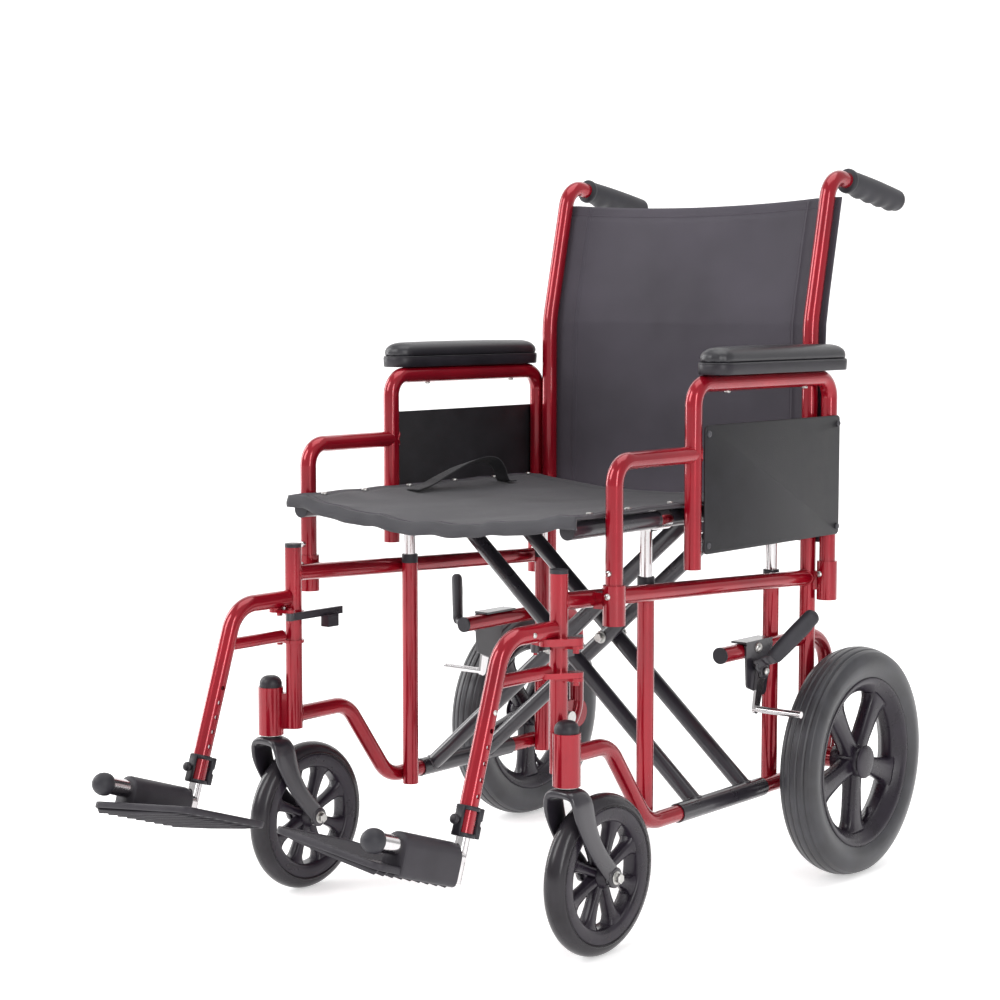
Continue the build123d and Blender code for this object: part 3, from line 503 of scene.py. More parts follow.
rivet_shape = turned(
    "rivet_shape",
    [(-0.5, 1.0), (0.1, 1.0), (0.35, 0.86), (0.55, 0.6), (0.66, 0.3), (0.68, 0.05)],
    (0, 0, 0),
    upright,
    bright_zinc,
    24,
)


def recessed_head(name, sides, height, made):
    """A unit-radius screw head: a domed disc with a cross recess, or a plain hexagon."""
    shell = bmesh.new()
    rings = [(0.0, 1.0), (height * 0.55, 1.0), (height * 0.85, 0.86), (height, 0.62), (height, 0.4)]
    if sides == 6:
        rings = [(0.0, 1.0), (height * 0.88, 1.0), (height, 0.9), (height, 0.55), (height * 0.96, 0.5)]
    steps = sides if sides == 6 else 24
    rows = []
    for along, radius in rings:
        row = []
        for step in range(steps):
            angle = 2 * math.pi * step / steps
            row.append(
                shell.verts.new(Vector((radius * math.cos(angle), radius * math.sin(angle), along)) * mm)
            )
        rows.append(row)
    for low, high in zip(rows, rows[1:]):
        for step in range(steps):
            after = (step + 1) % steps
            shell.faces.new((low[step], low[after], high[after], high[step]))
    if sides == 6:
        shell.faces.new(rows[-1])
    else:
        cross = []
        for step in range(steps):
            angle = 2 * math.pi * step / steps
            deep = abs(math.sin(2 * angle)) < 0.55
            radius = 0.3 if deep else 0.14
            drop = height * (0.35 if deep else 0.9)
            cross.append(
                shell.verts.new(Vector((radius * math.cos(angle), radius * math.sin(angle), drop)) * mm)
            )
        for step in range(steps):
            after = (step + 1) % steps
            shell.faces.new((rows[-1][step], rows[-1][after], cross[after], cross[step]))
        shell.faces.new(cross)
    shell.faces.new(list(reversed(rows[0])))
    bmesh.ops.recalc_face_normals(shell, faces=shell.faces)
    mesh = bpy.data.meshes.new(name)
    shell.to_mesh(mesh)
    shell.free()
    mesh.materials.append(made)
    piece = bpy.data.objects.new(name, mesh)
    scene.collection.objects.link(piece)
    return piece


screw_shape = recessed_head("screw_shape", 24, 0.62, bright_zinc)
hex_shape = recessed_head("hex_shape", 6, 1.0, bright_zinc)

# Rivets on the front sockets, on the armrest buttons' outer side and on the leg rests.
leg_run = Vector((0, -math.sin(math.radians(18.5)), -math.cos(math.radians(18.5))))
leg_face = Vector((0, -math.cos(math.radians(18.5)), math.sin(math.radians(18.5))))


def on_leg(height):
    """Point on the leg-rest tube's centre line at a height."""
    return Vector((half_track, back(-106) - (405 - height) * math.tan(math.radians(18.5)), height))


socket_rivets = fastened(
    "socket_rivets",
    [((arm_x, back(65) - 13.6, 441), (0, -1, 0)), ((arm_x - 4, back(565) - 13.6, 420), (0, -1, 0))],
    rivet_shape,
    4.2,
    bright_zinc,
)
fit_pair(socket_rivets, "socket_rivets", "frame", "zinc")
leg_rivets = fastened(
    "leg_rivets",
    [(on_leg(324) + Vector((10.6, 0, 0)), (1, 0, 0)), ((half_track + 10.8, back(-60), 405), (1, 0, 0))],
    rivet_shape,
    3.4,
    bright_zinc,
)
fit_pair(leg_rivets, "leg_rivets", "hanger", "zinc")

# ---- plastic plugs, bushes and caps -----------------------------------------------------------
# Injection-moulded black nylon pressed into the open tube ends, with a fine moulded grain.
def moulded_plastic(name, dark, light, rough_low, rough_high, grain, grain_strength):
    """Moulded black plastic: cloudy tone and a fine spark-eroded grain of a size in millimetres."""
    made, tree, shader = new_material(name)
    shader.inputs["Specular IOR Level"].default_value = 0.36
    place = node(tree, "ShaderNodeTexCoord")
    position = place.outputs["Object"]
    cloud = node(tree, "ShaderNodeTexNoise", {"Vector": position, "Scale": 35.0, "Detail": 4.0})
    tone = node(tree, "ShaderNodeValToRGB", {"Fac": cloud.outputs["Fac"]})
    tone.color_ramp.elements[0].position = 0.3
    tone.color_ramp.elements[0].color = srgb(dark)
    tone.color_ramp.elements[1].position = 0.72
    tone.color_ramp.elements[1].color = srgb(light)
    gloss = node(
        tree,
        "ShaderNodeMapRange",
        {"Value": cloud.outputs["Fac"], "To Min": rough_low, "To Max": rough_high},
    )
    texture = node(
        tree, "ShaderNodeTexNoise", {"Vector": position, "Scale": 1 / (grain * mm), "Detail": 2.0}
    )
    bump = node(
        tree,
        "ShaderNodeBump",
        {"Height": texture.outputs["Fac"], "Strength": grain_strength, "Distance": grain * mm * 0.4},
    )
    tree.links.new(tone.outputs["Color"], shader.inputs["Base Color"])
    tree.links.new(gloss.outputs["Result"], shader.inputs["Roughness"])
    tree.links.new(bump.outputs["Normal"], shader.inputs["Normal"])
    return made


black_nylon = moulded_plastic("moulded_black_nylon", "#1e1c21", "#29262d", 0.34, 0.5, 0.9, 0.25)
paint(both("frame_plugs", "rail_plug"), black_nylon)

# ---- folding cross ----------------------------------------------------------------------------
# Two welded braces of round steel tube in satin black enamel, held by two through-bolts with
# hex heads, washers and self-locking nuts where they pass each other.
black_enamel, tree, shader = new_material("satin_black_enamel", Metallic=0.1)
shader.inputs["Coat Weight"].default_value = 0.5
shader.inputs["Coat Roughness"].default_value = 0.12
place = node(tree, "ShaderNodeTexCoord")
cloud = node(tree, "ShaderNodeTexNoise", {"Vector": place.outputs["Object"], "Scale": 12.0, "Detail": 4.0})
tone = node(tree, "ShaderNodeValToRGB", {"Fac": cloud.outputs["Fac"]})
tone.color_ramp.elements[0].color = srgb("#1f1c22")
tone.color_ramp.elements[1].color = srgb("#2c2830")
gloss = node(tree, "ShaderNodeMapRange", {"Value": cloud.outputs["Fac"], "To Min": 0.22, "To Max": 0.36})
peel = node(tree, "ShaderNodeTexNoise", {"Vector": place.outputs["Object"], "Scale": 500.0})
bump = node(tree, "ShaderNodeBump", {"Height": peel.outputs["Fac"], "Strength": 0.06, "Distance": 0.0005})
tree.links.new(tone.outputs["Color"], shader.inputs["Base Color"])
tree.links.new(gloss.outputs["Result"], shader.inputs["Roughness"])
tree.links.new(bump.outputs["Normal"], shader.inputs["Normal"])
paint(both("hanger_latch", "brake_bracket") + ["cross_brace_a", "cross_brace_b"], black_enamel)

bolt_z = 327.5
bolt_pieces = []
for first in (277.0, 396.0):
    near = back(first) - tube_radius - 0.35
    far = back(first) + 24 + tube_radius + 0.35
    shank = turned(
        "shank", [(0, 3.9), (far - near, 3.9)], (0, near, bolt_z), (0, 1, 0), bright_zinc, 20
    )
    for place, direction, length in ((near, -1, 5.6), (far, 1, 6.6)):
        washer = turned(
            "washer",
            [(0, 4.0), (0, 8.6), (0.3, 8.9), (1.2, 8.9), (1.5, 8.6), (1.5, 4.0)],
            (0, place, bolt_z),
            (0, direction, 0),
            bright_zinc,
            32,
        )
        head = fastened(
            "head", [((0, place + direction * 1.4, bolt_z), (0, direction, 0))], hex_shape, 6.6, bright_zinc
        )
        bolt_pieces += [washer, head]
    bolt_pieces.append(shank)
cross_bolts = joined("cross_bolts", bolt_pieces)
fit(cross_bolts, "brace_a", "zinc", "brace_bolts")

# The brace tubes are welded to the pivot sleeve and to the seat rail with a visible bead.
brace_slope = Vector((-444.0, 0, 387.0)).normalized()
for name, side, first in (("brace_a", 1, 301.0), ("brace_b", -1, 277.0)):
    run = Vector((brace_slope.x * side, 0, brace_slope.z))
    lines = []
    for distance in (first, first + 119.0):
        foot = (side * half_track, back(distance), 134)
        head = (-side * half_track, back(distance), 521)
        lines.append(joint_ring(foot, run, tube_radius, foot, (0, 1, 0), 12.7))
        lines.append(joint_ring(head, -run, tube_radius, head, (0, 1, 0), tube_radius + 0.05))
    brace_beads = beads(f"weld_beads_{name}", lines, black_enamel)
    fit(brace_beads, name, "black_enamel")

# ---- chrome posts and foot tubes --------------------------------------------------------------
# Drawn steel tube, ground and chromium-plated: a bright, slightly cloudy mirror with faint
# rub marks along its length where it slides.
chrome_plate, tree, shader = new_material("chromium_plate", Metallic=1.0)
place = node(tree, "ShaderNodeTexCoord")
stretch = node(tree, "ShaderNodeMapping", {"Vector": place.outputs["Object"], "Scale": (900.0, 900.0, 18.0)})
rubs = node(tree, "ShaderNodeTexNoise", {"Vector": stretch.outputs["Vector"], "Scale": 1.0, "Detail": 3.0})
tone = node(tree, "ShaderNodeValToRGB", {"Fac": rubs.outputs["Fac"]})
tone.color_ramp.elements[0].color = srgb("#bcb8ba")
tone.color_ramp.elements[1].color = srgb("#e6e4e4")
gloss = node(tree, "ShaderNodeMapRange", {"Value": rubs.outputs["Fac"], "To Min": 0.07, "To Max": 0.2})
tree.links.new(tone.outputs["Color"], shader.inputs["Base Color"])
tree.links.new(gloss.outputs["Result"], shader.inputs["Roughness"])
paint(both("guide_posts", "foot_slider", "arm_button", "brake_shoe"), chrome_plate)
paint(both("rear_axle"), bright_zinc)

# ---- seat upholstery --------------------------------------------------------------------------
# Two layers of woven nylon slung between the seat rails, hemmed all round and screwed down to
# the rails. The cloth sags between them and puckers behind its turned-down front hem.
def woven(name, dark, light, thread, sheen):
    """Plain-woven cloth: threads of a size in millimetres, drawn coarse enough to show."""
    made, tree, shader = new_material(name)
    place = node(tree, "ShaderNodeUVMap", uv_map="cloth")
    cloud = node(tree, "ShaderNodeTexNoise", {"Vector": place.outputs["UV"], "Scale": 7.0, "Detail": 5.0})
    tone = node(tree, "ShaderNodeValToRGB", {"Fac": cloud.outputs["Fac"]})
    tone.color_ramp.elements[0].position = 0.32
    tone.color_ramp.elements[0].color = srgb(dark)
    tone.color_ramp.elements[1].position = 0.7
    tone.color_ramp.elements[1].color = srgb(light)
    warp = node(
        tree,
        "ShaderNodeTexWave",
        {"Vector": place.outputs["UV"], "Scale": 0.5 / (thread * mm), "Distortion": 0.6},
        bands_direction="X",
    )
    weft = node(
        tree,
        "ShaderNodeTexWave",
        {"Vector": place.outputs["UV"], "Scale": 0.5 / (thread * mm), "Distortion": 0.6},
        bands_direction="Y",
    )
    cross = node(
        tree, "ShaderNodeMath", {0: warp.outputs["Fac"], 1: weft.outputs["Fac"]}, operation="MULTIPLY"
    )
    # Painted highlight: the raised thread crossings are mixed toward the light colour to stand in for the
    # sheen that light gives the thread tops.
    crossing_highlight = node(tree, "ShaderNodeMix", {0: cross.outputs[0], 6: tone.outputs["Color"]}, data_type="RGBA")
    crossing_highlight.inputs[7].default_value = srgb(light)
    bump = node(
        tree, "ShaderNodeBump", {"Height": cross.outputs[0], "Strength": 0.4, "Distance": thread * mm * 0.35}
    )
    tree.links.new(crossing_highlight.outputs[2], shader.inputs["Base Color"])
    tree.links.new(bump.outputs["Normal"], shader.inputs["Normal"])
    shader.inputs["Roughness"].default_value = 0.78
    shader.inputs["Sheen Weight"].default_value = sheen
    shader.inputs["Sheen Roughness"].default_value = 0.5
    return made


seat_nylon = woven("woven_nylon_seat", "#2a292d", "#3a393e", 1.1, 0.12)
back_nylon = woven("woven_nylon_back", "#2f2b33", "#3f3a44", 1.1, 0.12)

stitch_tree, given = new_tree(
    "lay_stitches",
    [
        ("Stitch Pitch", "NodeSocketFloat", 0.0042),
        ("Stitch Length", "NodeSocketFloat", 0.003),
        ("Thread", "NodeSocketFloat", 0.00045),
        ("Finish", "NodeSocketMaterial", None),
    ],
)
seam_line = node(stitch_tree, "GeometryNodeMeshToCurve", {"Mesh": given.outputs["Geometry"]})
seam_points = node(
    stitch_tree,
    "GeometryNodeCurveToPoints",
    {"Curve": seam_line.outputs["Curve"], "Length": given.outputs["Stitch Pitch"]},
    mode="LENGTH",
)
thread_up = node(
    stitch_tree,
    "FunctionNodeAlignRotationToVector",
    {"Vector": seam_points.outputs["Tangent"]},
    axis="Z",
)
thread_bar = node(
    stitch_tree,
    "GeometryNodeMeshCylinder",
    {
        "Vertices": 6,
        "Side Segments": 1,
        "Radius": given.outputs["Thread"],
        "Depth": given.outputs["Stitch Length"],
    },
)
stitch_set = node(
    stitch_tree,
    "GeometryNodeInstanceOnPoints",
    {
        "Points": seam_points.outputs["Points"],
        "Instance": thread_bar.outputs["Mesh"],
        "Rotation": thread_up.outputs["Rotation"],
    },
)
end_tree(stitch_tree, stitch_set.outputs["Instances"], given)

# Spun polyester sewing thread, a shade lighter than the cloth.
sewing_thread, tree, shader = new_material("polyester_sewing_thread", Roughness=0.6)
place = node(tree, "ShaderNodeTexCoord")
twist = node(tree, "ShaderNodeTexWave", {"Vector": place.outputs["Object"], "Scale": 900.0})
tone = node(tree, "ShaderNodeValToRGB", {"Fac": twist.outputs["Fac"]})
tone.color_ramp.elements[0].color = srgb("#302a33")
tone.color_ramp.elements[1].color = srgb("#514955")
tree.links.new(tone.outputs["Color"], shader.inputs["Base Color"])


def stitched(name, lines):
    """Stitches laid along open lines of points in millimetres."""
    points = []
    edges = []
    for line in lines:
        first = len(points)
        points += [Vector(point) * mm for point in line]
        edges += [(first + i, first + i + 1) for i in range(len(line) - 1)]
    mesh = bpy.data.meshes.new(name)
    mesh.from_pydata(points, edges, [])
    host = bpy.data.objects.new(name, mesh)
    scene.collection.objects.link(host)
    return grown(name, host, stitch_tree, {"Finish": sewing_thread})


def cloth_panel(name, across, along, surface, thickness, made):
    """Closed cloth panel over a grid of parameters; surface(u, v) gives a point and a normal."""
    columns = len(across)
    rows = len(along)
    points = []
    flat_uv = []
    for layer in (0, 1):
        for v in along:
            for u in across:
                point, normal = surface(u, v)
                points.append(Vector(point) - Vector(normal) * (thickness * layer))
                flat_uv.append((u * mm, v * mm))
    count = columns * rows
    faces = []
    for row in range(rows - 1):
        for column in range(columns - 1):
            i = row * columns + column
            faces.append((i, i + 1, i + columns + 1, i + columns))
            faces.append((count + i, count + i + columns, count + i + columns + 1, count + i + 1))
    rim = [c for c in range(columns)]
    rim += [r * columns + columns - 1 for r in range(1, rows)]
    rim += [(rows - 1) * columns + c for c in range(columns - 2, -1, -1)]
    rim += [r * columns for r in range(rows - 2, 0, -1)]
    for i in range(len(rim)):
        a, b = rim[i], rim[(i + 1) % len(rim)]
        faces.append((b, a, count + a, count + b))
    mesh = bpy.data.meshes.new(name)
    mesh.from_pydata([point * mm for point in points], [], faces)
    layer = mesh.uv_layers.new(name="cloth")
    for loop in mesh.loops:
        layer.data[loop.index].uv = flat_uv[loop.vertex_index]
    shell = bmesh.new()
    shell.from_mesh(mesh)
    bmesh.ops.recalc_face_normals(shell, faces=shell.faces)
    shell.to_mesh(mesh)
    shell.free()
    mesh.materials.append(made)
    for polygon in mesh.polygons:
        polygon.use_smooth = True
    piece = bpy.data.objects.new(name, mesh)
    scene.collection.objects.link(piece)
    return piece


def spread(low, high, step):
    """Evenly spaced values from low to high, about a step apart."""
    count = max(2, round((high - low) / step) + 1)
    return [low + (high - low) * i / (count - 1) for i in range(count)]


def bell(value, centre, width):
    """Smooth bump of height 1 at the centre."""
    return math.exp(-((value - centre) / width) ** 2)


rail_top = 538.0
seat_half = 240.0
seat_front = back(10)
seat_rear = back(516)
hem_width = 17.0
seat_flap = 15.0  # depth of the turned-down front hem


def seat_height(x, y):
    """Height of the seat cloth: level on the rails, sagging between, puckered near the front."""
    inside = max(0.0, 1 - (x / 210.0) ** 2)
    sag = 16.0 * inside ** 0.8
    lift = bell(y, seat_front, 60.0)
    sag += lift * 4.0 * inside
    spot = Vector((x * 0.012, y * 0.010, 3.7))
    slack = noise.noise(spot) * 3.6 * inside
    slack += noise.noise(spot * 1.9) * 0.9 * (0.3 + inside)
    pucker = math.sin(x * 0.072 + 3.0 * noise.noise(Vector((x * 0.02, 0.4, y * 0.004))))
    slack += pucker * 1.7 * bell(y, seat_front + 16, 26.0) * (0.3 + inside)
    slack += math.sin(y * 0.085 + x * 0.03) * 0.9 * bell(abs(x), 215, 30.0)
    return rail_top - sag + slack


def seat_surface(x, run):
    """Point and normal of the seat cloth; run counts back from the front fold, negative is the flap."""
    if run < 0:
        share = -run / seat_flap
        y = seat_front - 3.2 * math.sin(share * math.pi * 0.8)
        wave = 0.8 * math.sin(x * 0.04 + 1.3) + 0.9 * noise.noise(Vector((x * 0.03, 1.0, 7.0)))
        z = seat_height(x, seat_front) - share * (seat_flap + wave)
        return (x, y + 0.9 * math.sin(x * 0.11) * share, z), (0, -1, 0.05)
    y = seat_front + run
    z = seat_height(x, y)
    edge = min(seat_half - abs(x), seat_rear - y + 0.01, run + 8)
    z += 1.3 * (1 if edge < hem_width else math.exp(-((edge - hem_width) / 1.6) ** 2))
    slope_x = (seat_height(x + 1, y) - seat_height(x - 1, y)) / 2
    slope_y = (seat_height(x, y + 1) - seat_height(x, y - 1)) / 2
    return (x, y, z), Vector((-slope_x, -slope_y, 1)).normalized()


seat_columns = sorted(
    set(spread(-seat_half, seat_half, 4.0))
    | {side * (seat_half - hem_width + d) for side in (-1, 1) for d in (-1.2, 0.0, 1.2)}
)
seat_rows = sorted(set(spread(-seat_flap, -2.5, 2.5)) | set(spread(0, seat_rear - seat_front, 4.0)))
seat_cloth = cloth_panel("seat_cloth", seat_columns, seat_rows, seat_surface, 3.2, seat_nylon)
fit(seat_cloth, "guide_left", "nylon", "seat_sling")


def on_seat(x, y, lift):
    """Point just proud of the seat cloth."""
    (px, py, pz), normal = seat_surface(x, y - seat_front)
    return Vector((px, py, pz)) + Vector(normal) * lift


seam_lines = []
for inset in (hem_width - 3.0, 4.0):
    for side in (-1, 1):
        seam_lines.append(
            [on_seat(side * (seat_half - inset), y, 0.15) for y in spread(seat_front + 6, seat_rear - 6, 8)]
        )
    seam_lines.append(
        [on_seat(x, seat_front + inset + 3, 0.15) for x in spread(-seat_half + 5, seat_half - 5, 5)]
    )
seat_seams = stitched("seat_seams", seam_lines)
fit(seat_seams, "guide_left", "nylon")

for made in (seat_cloth, seat_seams):
    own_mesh(made)

screw_rows = [60.0, 140.0, 232.0, 330.0, 420.0, 500.0]
for side, direction in (("left", 1), ("right", -1)):
    places = [
        (on_seat(direction * 222, back(distance), 0.1), (0, 0, 1)) for distance in screw_rows
    ]
    rail_screws = fastened(f"seat_screws_{side}", places, screw_shape, 4.4, bright_zinc)
    fit(rail_screws, f"guide_{side}", "zinc")

# ---- pull strap -------------------------------------------------------------------------------
# A loop of black webbing sewn to the seat by the right-hand rail; lifting it folds the chair.
strap_route = [(203.0, -0.4), (232.0, 5.0), (262.0, 15.0), (300.0, 27.0), (330.0, 33.0), (356.0, 34.0),
               (376.0, 29.0), (390.0, 16.0), (400.0, 1.2), (418.0, -0.4)]
strap_x = -190.0
strap_half = 11.0
strap_floor = 537.2


def strap_at(share):
    """Distance behind the posts and rise above the seat, eased along the strap's route."""
    position = share * (len(strap_route) - 1)
    i = min(int(position), len(strap_route) - 2)
    t = position - i
    p = [strap_route[max(0, min(len(strap_route) - 1, i + k))] for k in (-1, 0, 1, 2)]
    point = []
    for axis in (0, 1):
        a, b, c, d = (each[axis] for each in p)
        point.append(
            b + 0.5 * t * (c - a + t * (2 * a - 5 * b + 4 * c - d + t * (3 * (b - c) + d - a)))
        )
    return point


def strap_surface(across_strap, share):
    """Point and normal on the webbing, which twists a little at the top of its loop."""
    share = share / 100.0
    distance, rise = strap_at(share)
    ahead = strap_at(min(1.0, share + 0.01))
    behind = strap_at(max(0.0, share - 0.01))
    run = Vector((0, ahead[0] - behind[0], ahead[1] - behind[1])).normalized()
    roll = 0.5 * bell(share, 0.55, 0.25)
    side = Vector((math.cos(roll), 0, math.sin(roll) * 0.8))
    normal = Vector((0, -run.z, run.y))
    crown = 0.5 * (1 - (across_strap / strap_half) ** 2)
    centre = Vector((strap_x + 6 * bell(share, 0.6, 0.3), back(distance), strap_floor + rise))
    return centre + side * across_strap + normal * crown, normal


webbing = woven("woven_webbing", "#141316", "#232227", 1.6, 0.1)
strap_columns = spread(-strap_half, strap_half, 2.2)
strap = cloth_panel("strap", strap_columns, spread(0, 100, 1.6), strap_surface, 1.8, webbing)
fit(strap, "guide_left", "nylon", "pull_strap")
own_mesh(strap)

# ---- back upholstery --------------------------------------------------------------------------
# Woven nylon on the rear of the canes, with a sewn channel beside each and screws behind. It
# bellies back between them and its hemmed top edge dips in the middle.
cane_lean = math.atan2(47.0, 207.0)
cane_knee = 765.0
back_low = 462.0
back_high = 940.0
back_half = 244.0
channel = 192.0  # stitched line beside each cane


def cane_rear(z):
    """Y of the cane's rear face at a height."""
    lean = max(0.0, z - cane_knee) * math.tan(cane_lean)
    soft = 5.0 * bell(z, cane_knee, 26.0) * 0.3
    return back(560) + tube_radius + 1.3 + lean + soft


def back_surface(x, z):
    """Point and normal of the back cloth."""
    inside = max(0.0, 1 - (x / 214.0) ** 2)
    top_dip = 8.0 * inside * bell(z, back_high, 90.0)
    spot = Vector((x * 0.009, z * 0.009, 1.9))
    belly = 9.0 * inside ** 0.7 * (0.5 + 0.5 * math.sin(math.pi * (z - back_low) / (back_high - back_low)))
    slack = noise.noise(spot) * 3.0 * inside + noise.noise(spot * 2.8) * 0.9 * inside
    wander = 2 * noise.noise(Vector((0.3, z * 0.01, 0)))
    ripple = math.sin(z * 0.07 + wander) * 1.1 * bell(abs(x), 200, 26.0)
    seam = -0.9 * bell(abs(x), channel, 2.2)
    edge = min(back_half - abs(x), back_high - z, z - back_low)
    hem = 1.2 if edge < 16 else 1.2 * math.exp(-((edge - 16) / 1.6) ** 2)
    y = cane_rear(z) + belly + max(slack, -belly) + ripple * inside + seam * (belly > 1) + hem
    return (x, y, z - top_dip), (0, 1, -math.tan(cane_lean) * (z > cane_knee) * 0.5)


back_columns = sorted(
    set(spread(-back_half, back_half, 4.0))
    | {side * (channel + d) for side in (-1, 1) for d in (-2.0, 0.0, 2.0)}
    | {side * (back_half - 16 + d) for side in (-1, 1) for d in (-1.2, 1.2)}
)
back_rows = spread(back_low, back_high, 4.0)
back_cloth = cloth_panel("back_cloth", back_columns, back_rows, back_surface, 2.6, back_nylon)
fit(back_cloth, "left_frame", "nylon", "back_sling")


def on_back(x, z, face):
    """Point just proud of the back cloth's rear (+1) or front (-1) face."""
    (px, py, pz), _ = back_surface(x, z)
    return Vector((px, py + (0.25 if face > 0 else -2.75), pz))


seam_lines = []
for face in (-1, 1):
    for side in (-1, 1):
        for x in (channel, channel - 5.0, back_half - 13.0):
            seam_lines.append([on_back(side * x, z, face) for z in spread(back_low + 5, back_high - 5, 8)])
    for z in (back_high - 13.0, back_low + 13.0):
        seam_lines.append([on_back(x, z, face) for x in spread(-back_half + 6, back_half - 6, 8)])
back_seams = stitched("back_seams", seam_lines)
fit(back_seams, "left_frame", "nylon")
for made in (back_cloth, back_seams):
    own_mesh(made)
for side, direction in (("left", 1), ("right", -1)):
    places = []
    for z in (480.0, 600.0, 720.0, 830.0, 920.0):
        places.append((on_back(direction * cane_x, z, 1), (0, 1, 0)))
    back_screws = fastened(f"back_screws_{side}", places, screw_shape, 4.4, bright_zinc)
    fit(back_screws, f"{side}_frame", "zinc")


# ---- swivel casters ---------------------------------------------------------------------------
# Each caster is a one-piece moulded wheel, black tyre over a black eight-spoke centre, in a cast
# fork whose legs sweep back to the axle. A zinc bolt and nut close the fork.
housing_x = 248.0
housing_y = back(-18)
caster_y = back(47)
caster_radius = 100.0
caster_centre = (housing_x, caster_y, caster_radius)
sideways = (1, 0, 0)

# Solid polyurethane tyre and glass-filled nylon centre: smooth, half-gloss, faintly warm black.
caster_rubber = moulded_plastic("moulded_polyurethane", "#1f1c20", "#2a272c", 0.18, 0.3, 1.4, 0.08)
wheel_nylon = moulded_plastic("glass_filled_nylon", "#1e1921", "#29232d", 0.22, 0.34, 0.8, 0.15)


def arc(centre, radius_x, radius_y, start, end, steps):
    """Points on an elliptical arc, angles in degrees."""
    points = []
    for i in range(steps + 1):
        angle = math.radians(start + (end - start) * i / steps)
        points.append((centre[0] + radius_x * math.cos(angle), centre[1] + radius_y * math.sin(angle)))
    return points


tread_profile = arc((0, 85.5), 15.0, 14.5, 0, 180, 18)
tread_profile += [(-15.0, 86.0), (-14.6, 84.6), (-13.4, 84.0), (13.4, 84.0), (14.6, 84.6), (15.0, 86.0)]
caster_tyre = turned("caster_tyre", tread_profile, caster_centre, sideways, caster_rubber, 96, closed=True)
felloe_profile = [
    (13.2, 84.2), (14.2, 83.6), (14.4, 82.2), (13.8, 72.0), (12.8, 68.6), (10.5, 66.6), (6.0, 65.8),
    (-6.0, 65.8), (-10.5, 66.6), (-12.8, 68.6), (-13.8, 72.0), (-14.4, 82.2), (-14.2, 83.6), (-13.2, 84.2),
]
felloe = turned("felloe", felloe_profile, caster_centre, sideways, wheel_nylon, 96, closed=True)
hub_profile = [
    (-17.9, 5.0), (-17.9, 9.5), (-17.1, 10.8), (-12.0, 12.4), (-9.0, 16.0), (9.0, 16.0), (12.0, 12.4),
    (17.1, 10.8), (17.9, 9.5), (17.9, 5.0),
]
caster_hub = turned("caster_hub", hub_profile, caster_centre, sideways, wheel_nylon, 48, closed=True)

spoke_tree, given = new_tree(
    "ring_of_spokes",
    [
        ("Count", "NodeSocketInt", 8),
        ("First Angle", "NodeSocketFloat", 0.0),
        ("Finish", "NodeSocketMaterial", None),
    ],
)
spoke_count = given.outputs["Count"]
spoke_seats = node(spoke_tree, "GeometryNodeMeshLine", {"Count": spoke_count, "Offset": (0, 0, 0)})
spoke_index = node(spoke_tree, "GeometryNodeInputIndex")
spoke_step = node(spoke_tree, "ShaderNodeMath", {0: 2 * math.pi, 1: spoke_count}, operation="DIVIDE")
spoke_angle = node(
    spoke_tree,
    "ShaderNodeMath",
    {0: spoke_index.outputs[0], 1: spoke_step.outputs[0], 2: given.outputs["First Angle"]},
    operation="MULTIPLY_ADD",
)
spoke_turn = node(spoke_tree, "ShaderNodeCombineXYZ", {"X": spoke_angle.outputs[0]})
spoke_set = node(
    spoke_tree,
    "GeometryNodeInstanceOnPoints",
    {
        "Points": spoke_seats.outputs["Mesh"],
        "Instance": given.outputs["Geometry"],
        "Rotation": spoke_turn.outputs[0],
    },
)
end_tree(spoke_tree, spoke_set.outputs["Instances"], given)


def loft(name, rings, made, capped=True):
    """Closed skin over rings of points in millimetres, all with the same count."""
    count = len(rings[0])
    points = [point for ring in rings for point in ring]
    faces = []
    for row in range(len(rings) - 1):
        for i in range(count):
            j = (i + 1) % count
            faces.append((row * count + i, row * count + j, (row + 1) * count + j, (row + 1) * count + i))
    if capped:
        faces.append(tuple(reversed(range(count))))
        faces.append(tuple((len(rings) - 1) * count + i for i in range(count)))
    return mesh_object(name, points, faces, made)


def rounded_ring(centre, wide, thick, half_wide, half_thick, power=4.0, steps=20):
    """Ring of points on a rounded rectangle spanned by two directions."""
    ring = []
    for step in range(steps):
        angle = 2 * math.pi * step / steps
        c, s = math.cos(angle), math.sin(angle)
        size = (abs(c) ** power + abs(s) ** power) ** (-1 / power)
        ring.append(
            Vector(centre) + Vector(wide) * (half_wide * c * size) + Vector(thick) * (half_thick * s * size)
        )
    return ring


def wheel_spokes(name, count, first_degrees, stations, centre, made):
    """Spokes round an axle along X; stations give (radius, half width, half depth)."""
    rings = [
        rounded_ring((0, radius, 0), (0, 0, 1), (1, 0, 0), half_wide, half_deep, 5.0, 16)
        for radius, half_wide, half_deep in stations
    ]
    spoke = loft(f"{name}_one", rings, made)
    whole = grown(
        name,
        spoke,
        spoke_tree,
        {"Count": count, "First Angle": math.radians(first_degrees), "Finish": made},
    )
    whole.data.transform(Matrix.Translation(Vector(centre) * mm))
    return whole


caster_stations = [
    (12.0, 7.2, 8.6), (18.0, 5.6, 8.2), (30.0, 5.6, 7.6), (45.0, 6.6, 7.6), (56.0, 7.8, 8.2),
    (62.0, 10.2, 9.4), (66.5, 15.0, 10.6), (70.0, 17.0, 10.8),
]
caster_spokes = wheel_spokes("caster_spokes", 8, 22.5, caster_stations, caster_centre, wheel_nylon)
caster_wheel = joined("caster_wheel_piece", [caster_tyre, felloe, caster_hub, caster_spokes])
fit_pair(caster_wheel, "caster_wheel_piece", "caster_wheel", "black_plastic", "caster_wheel")

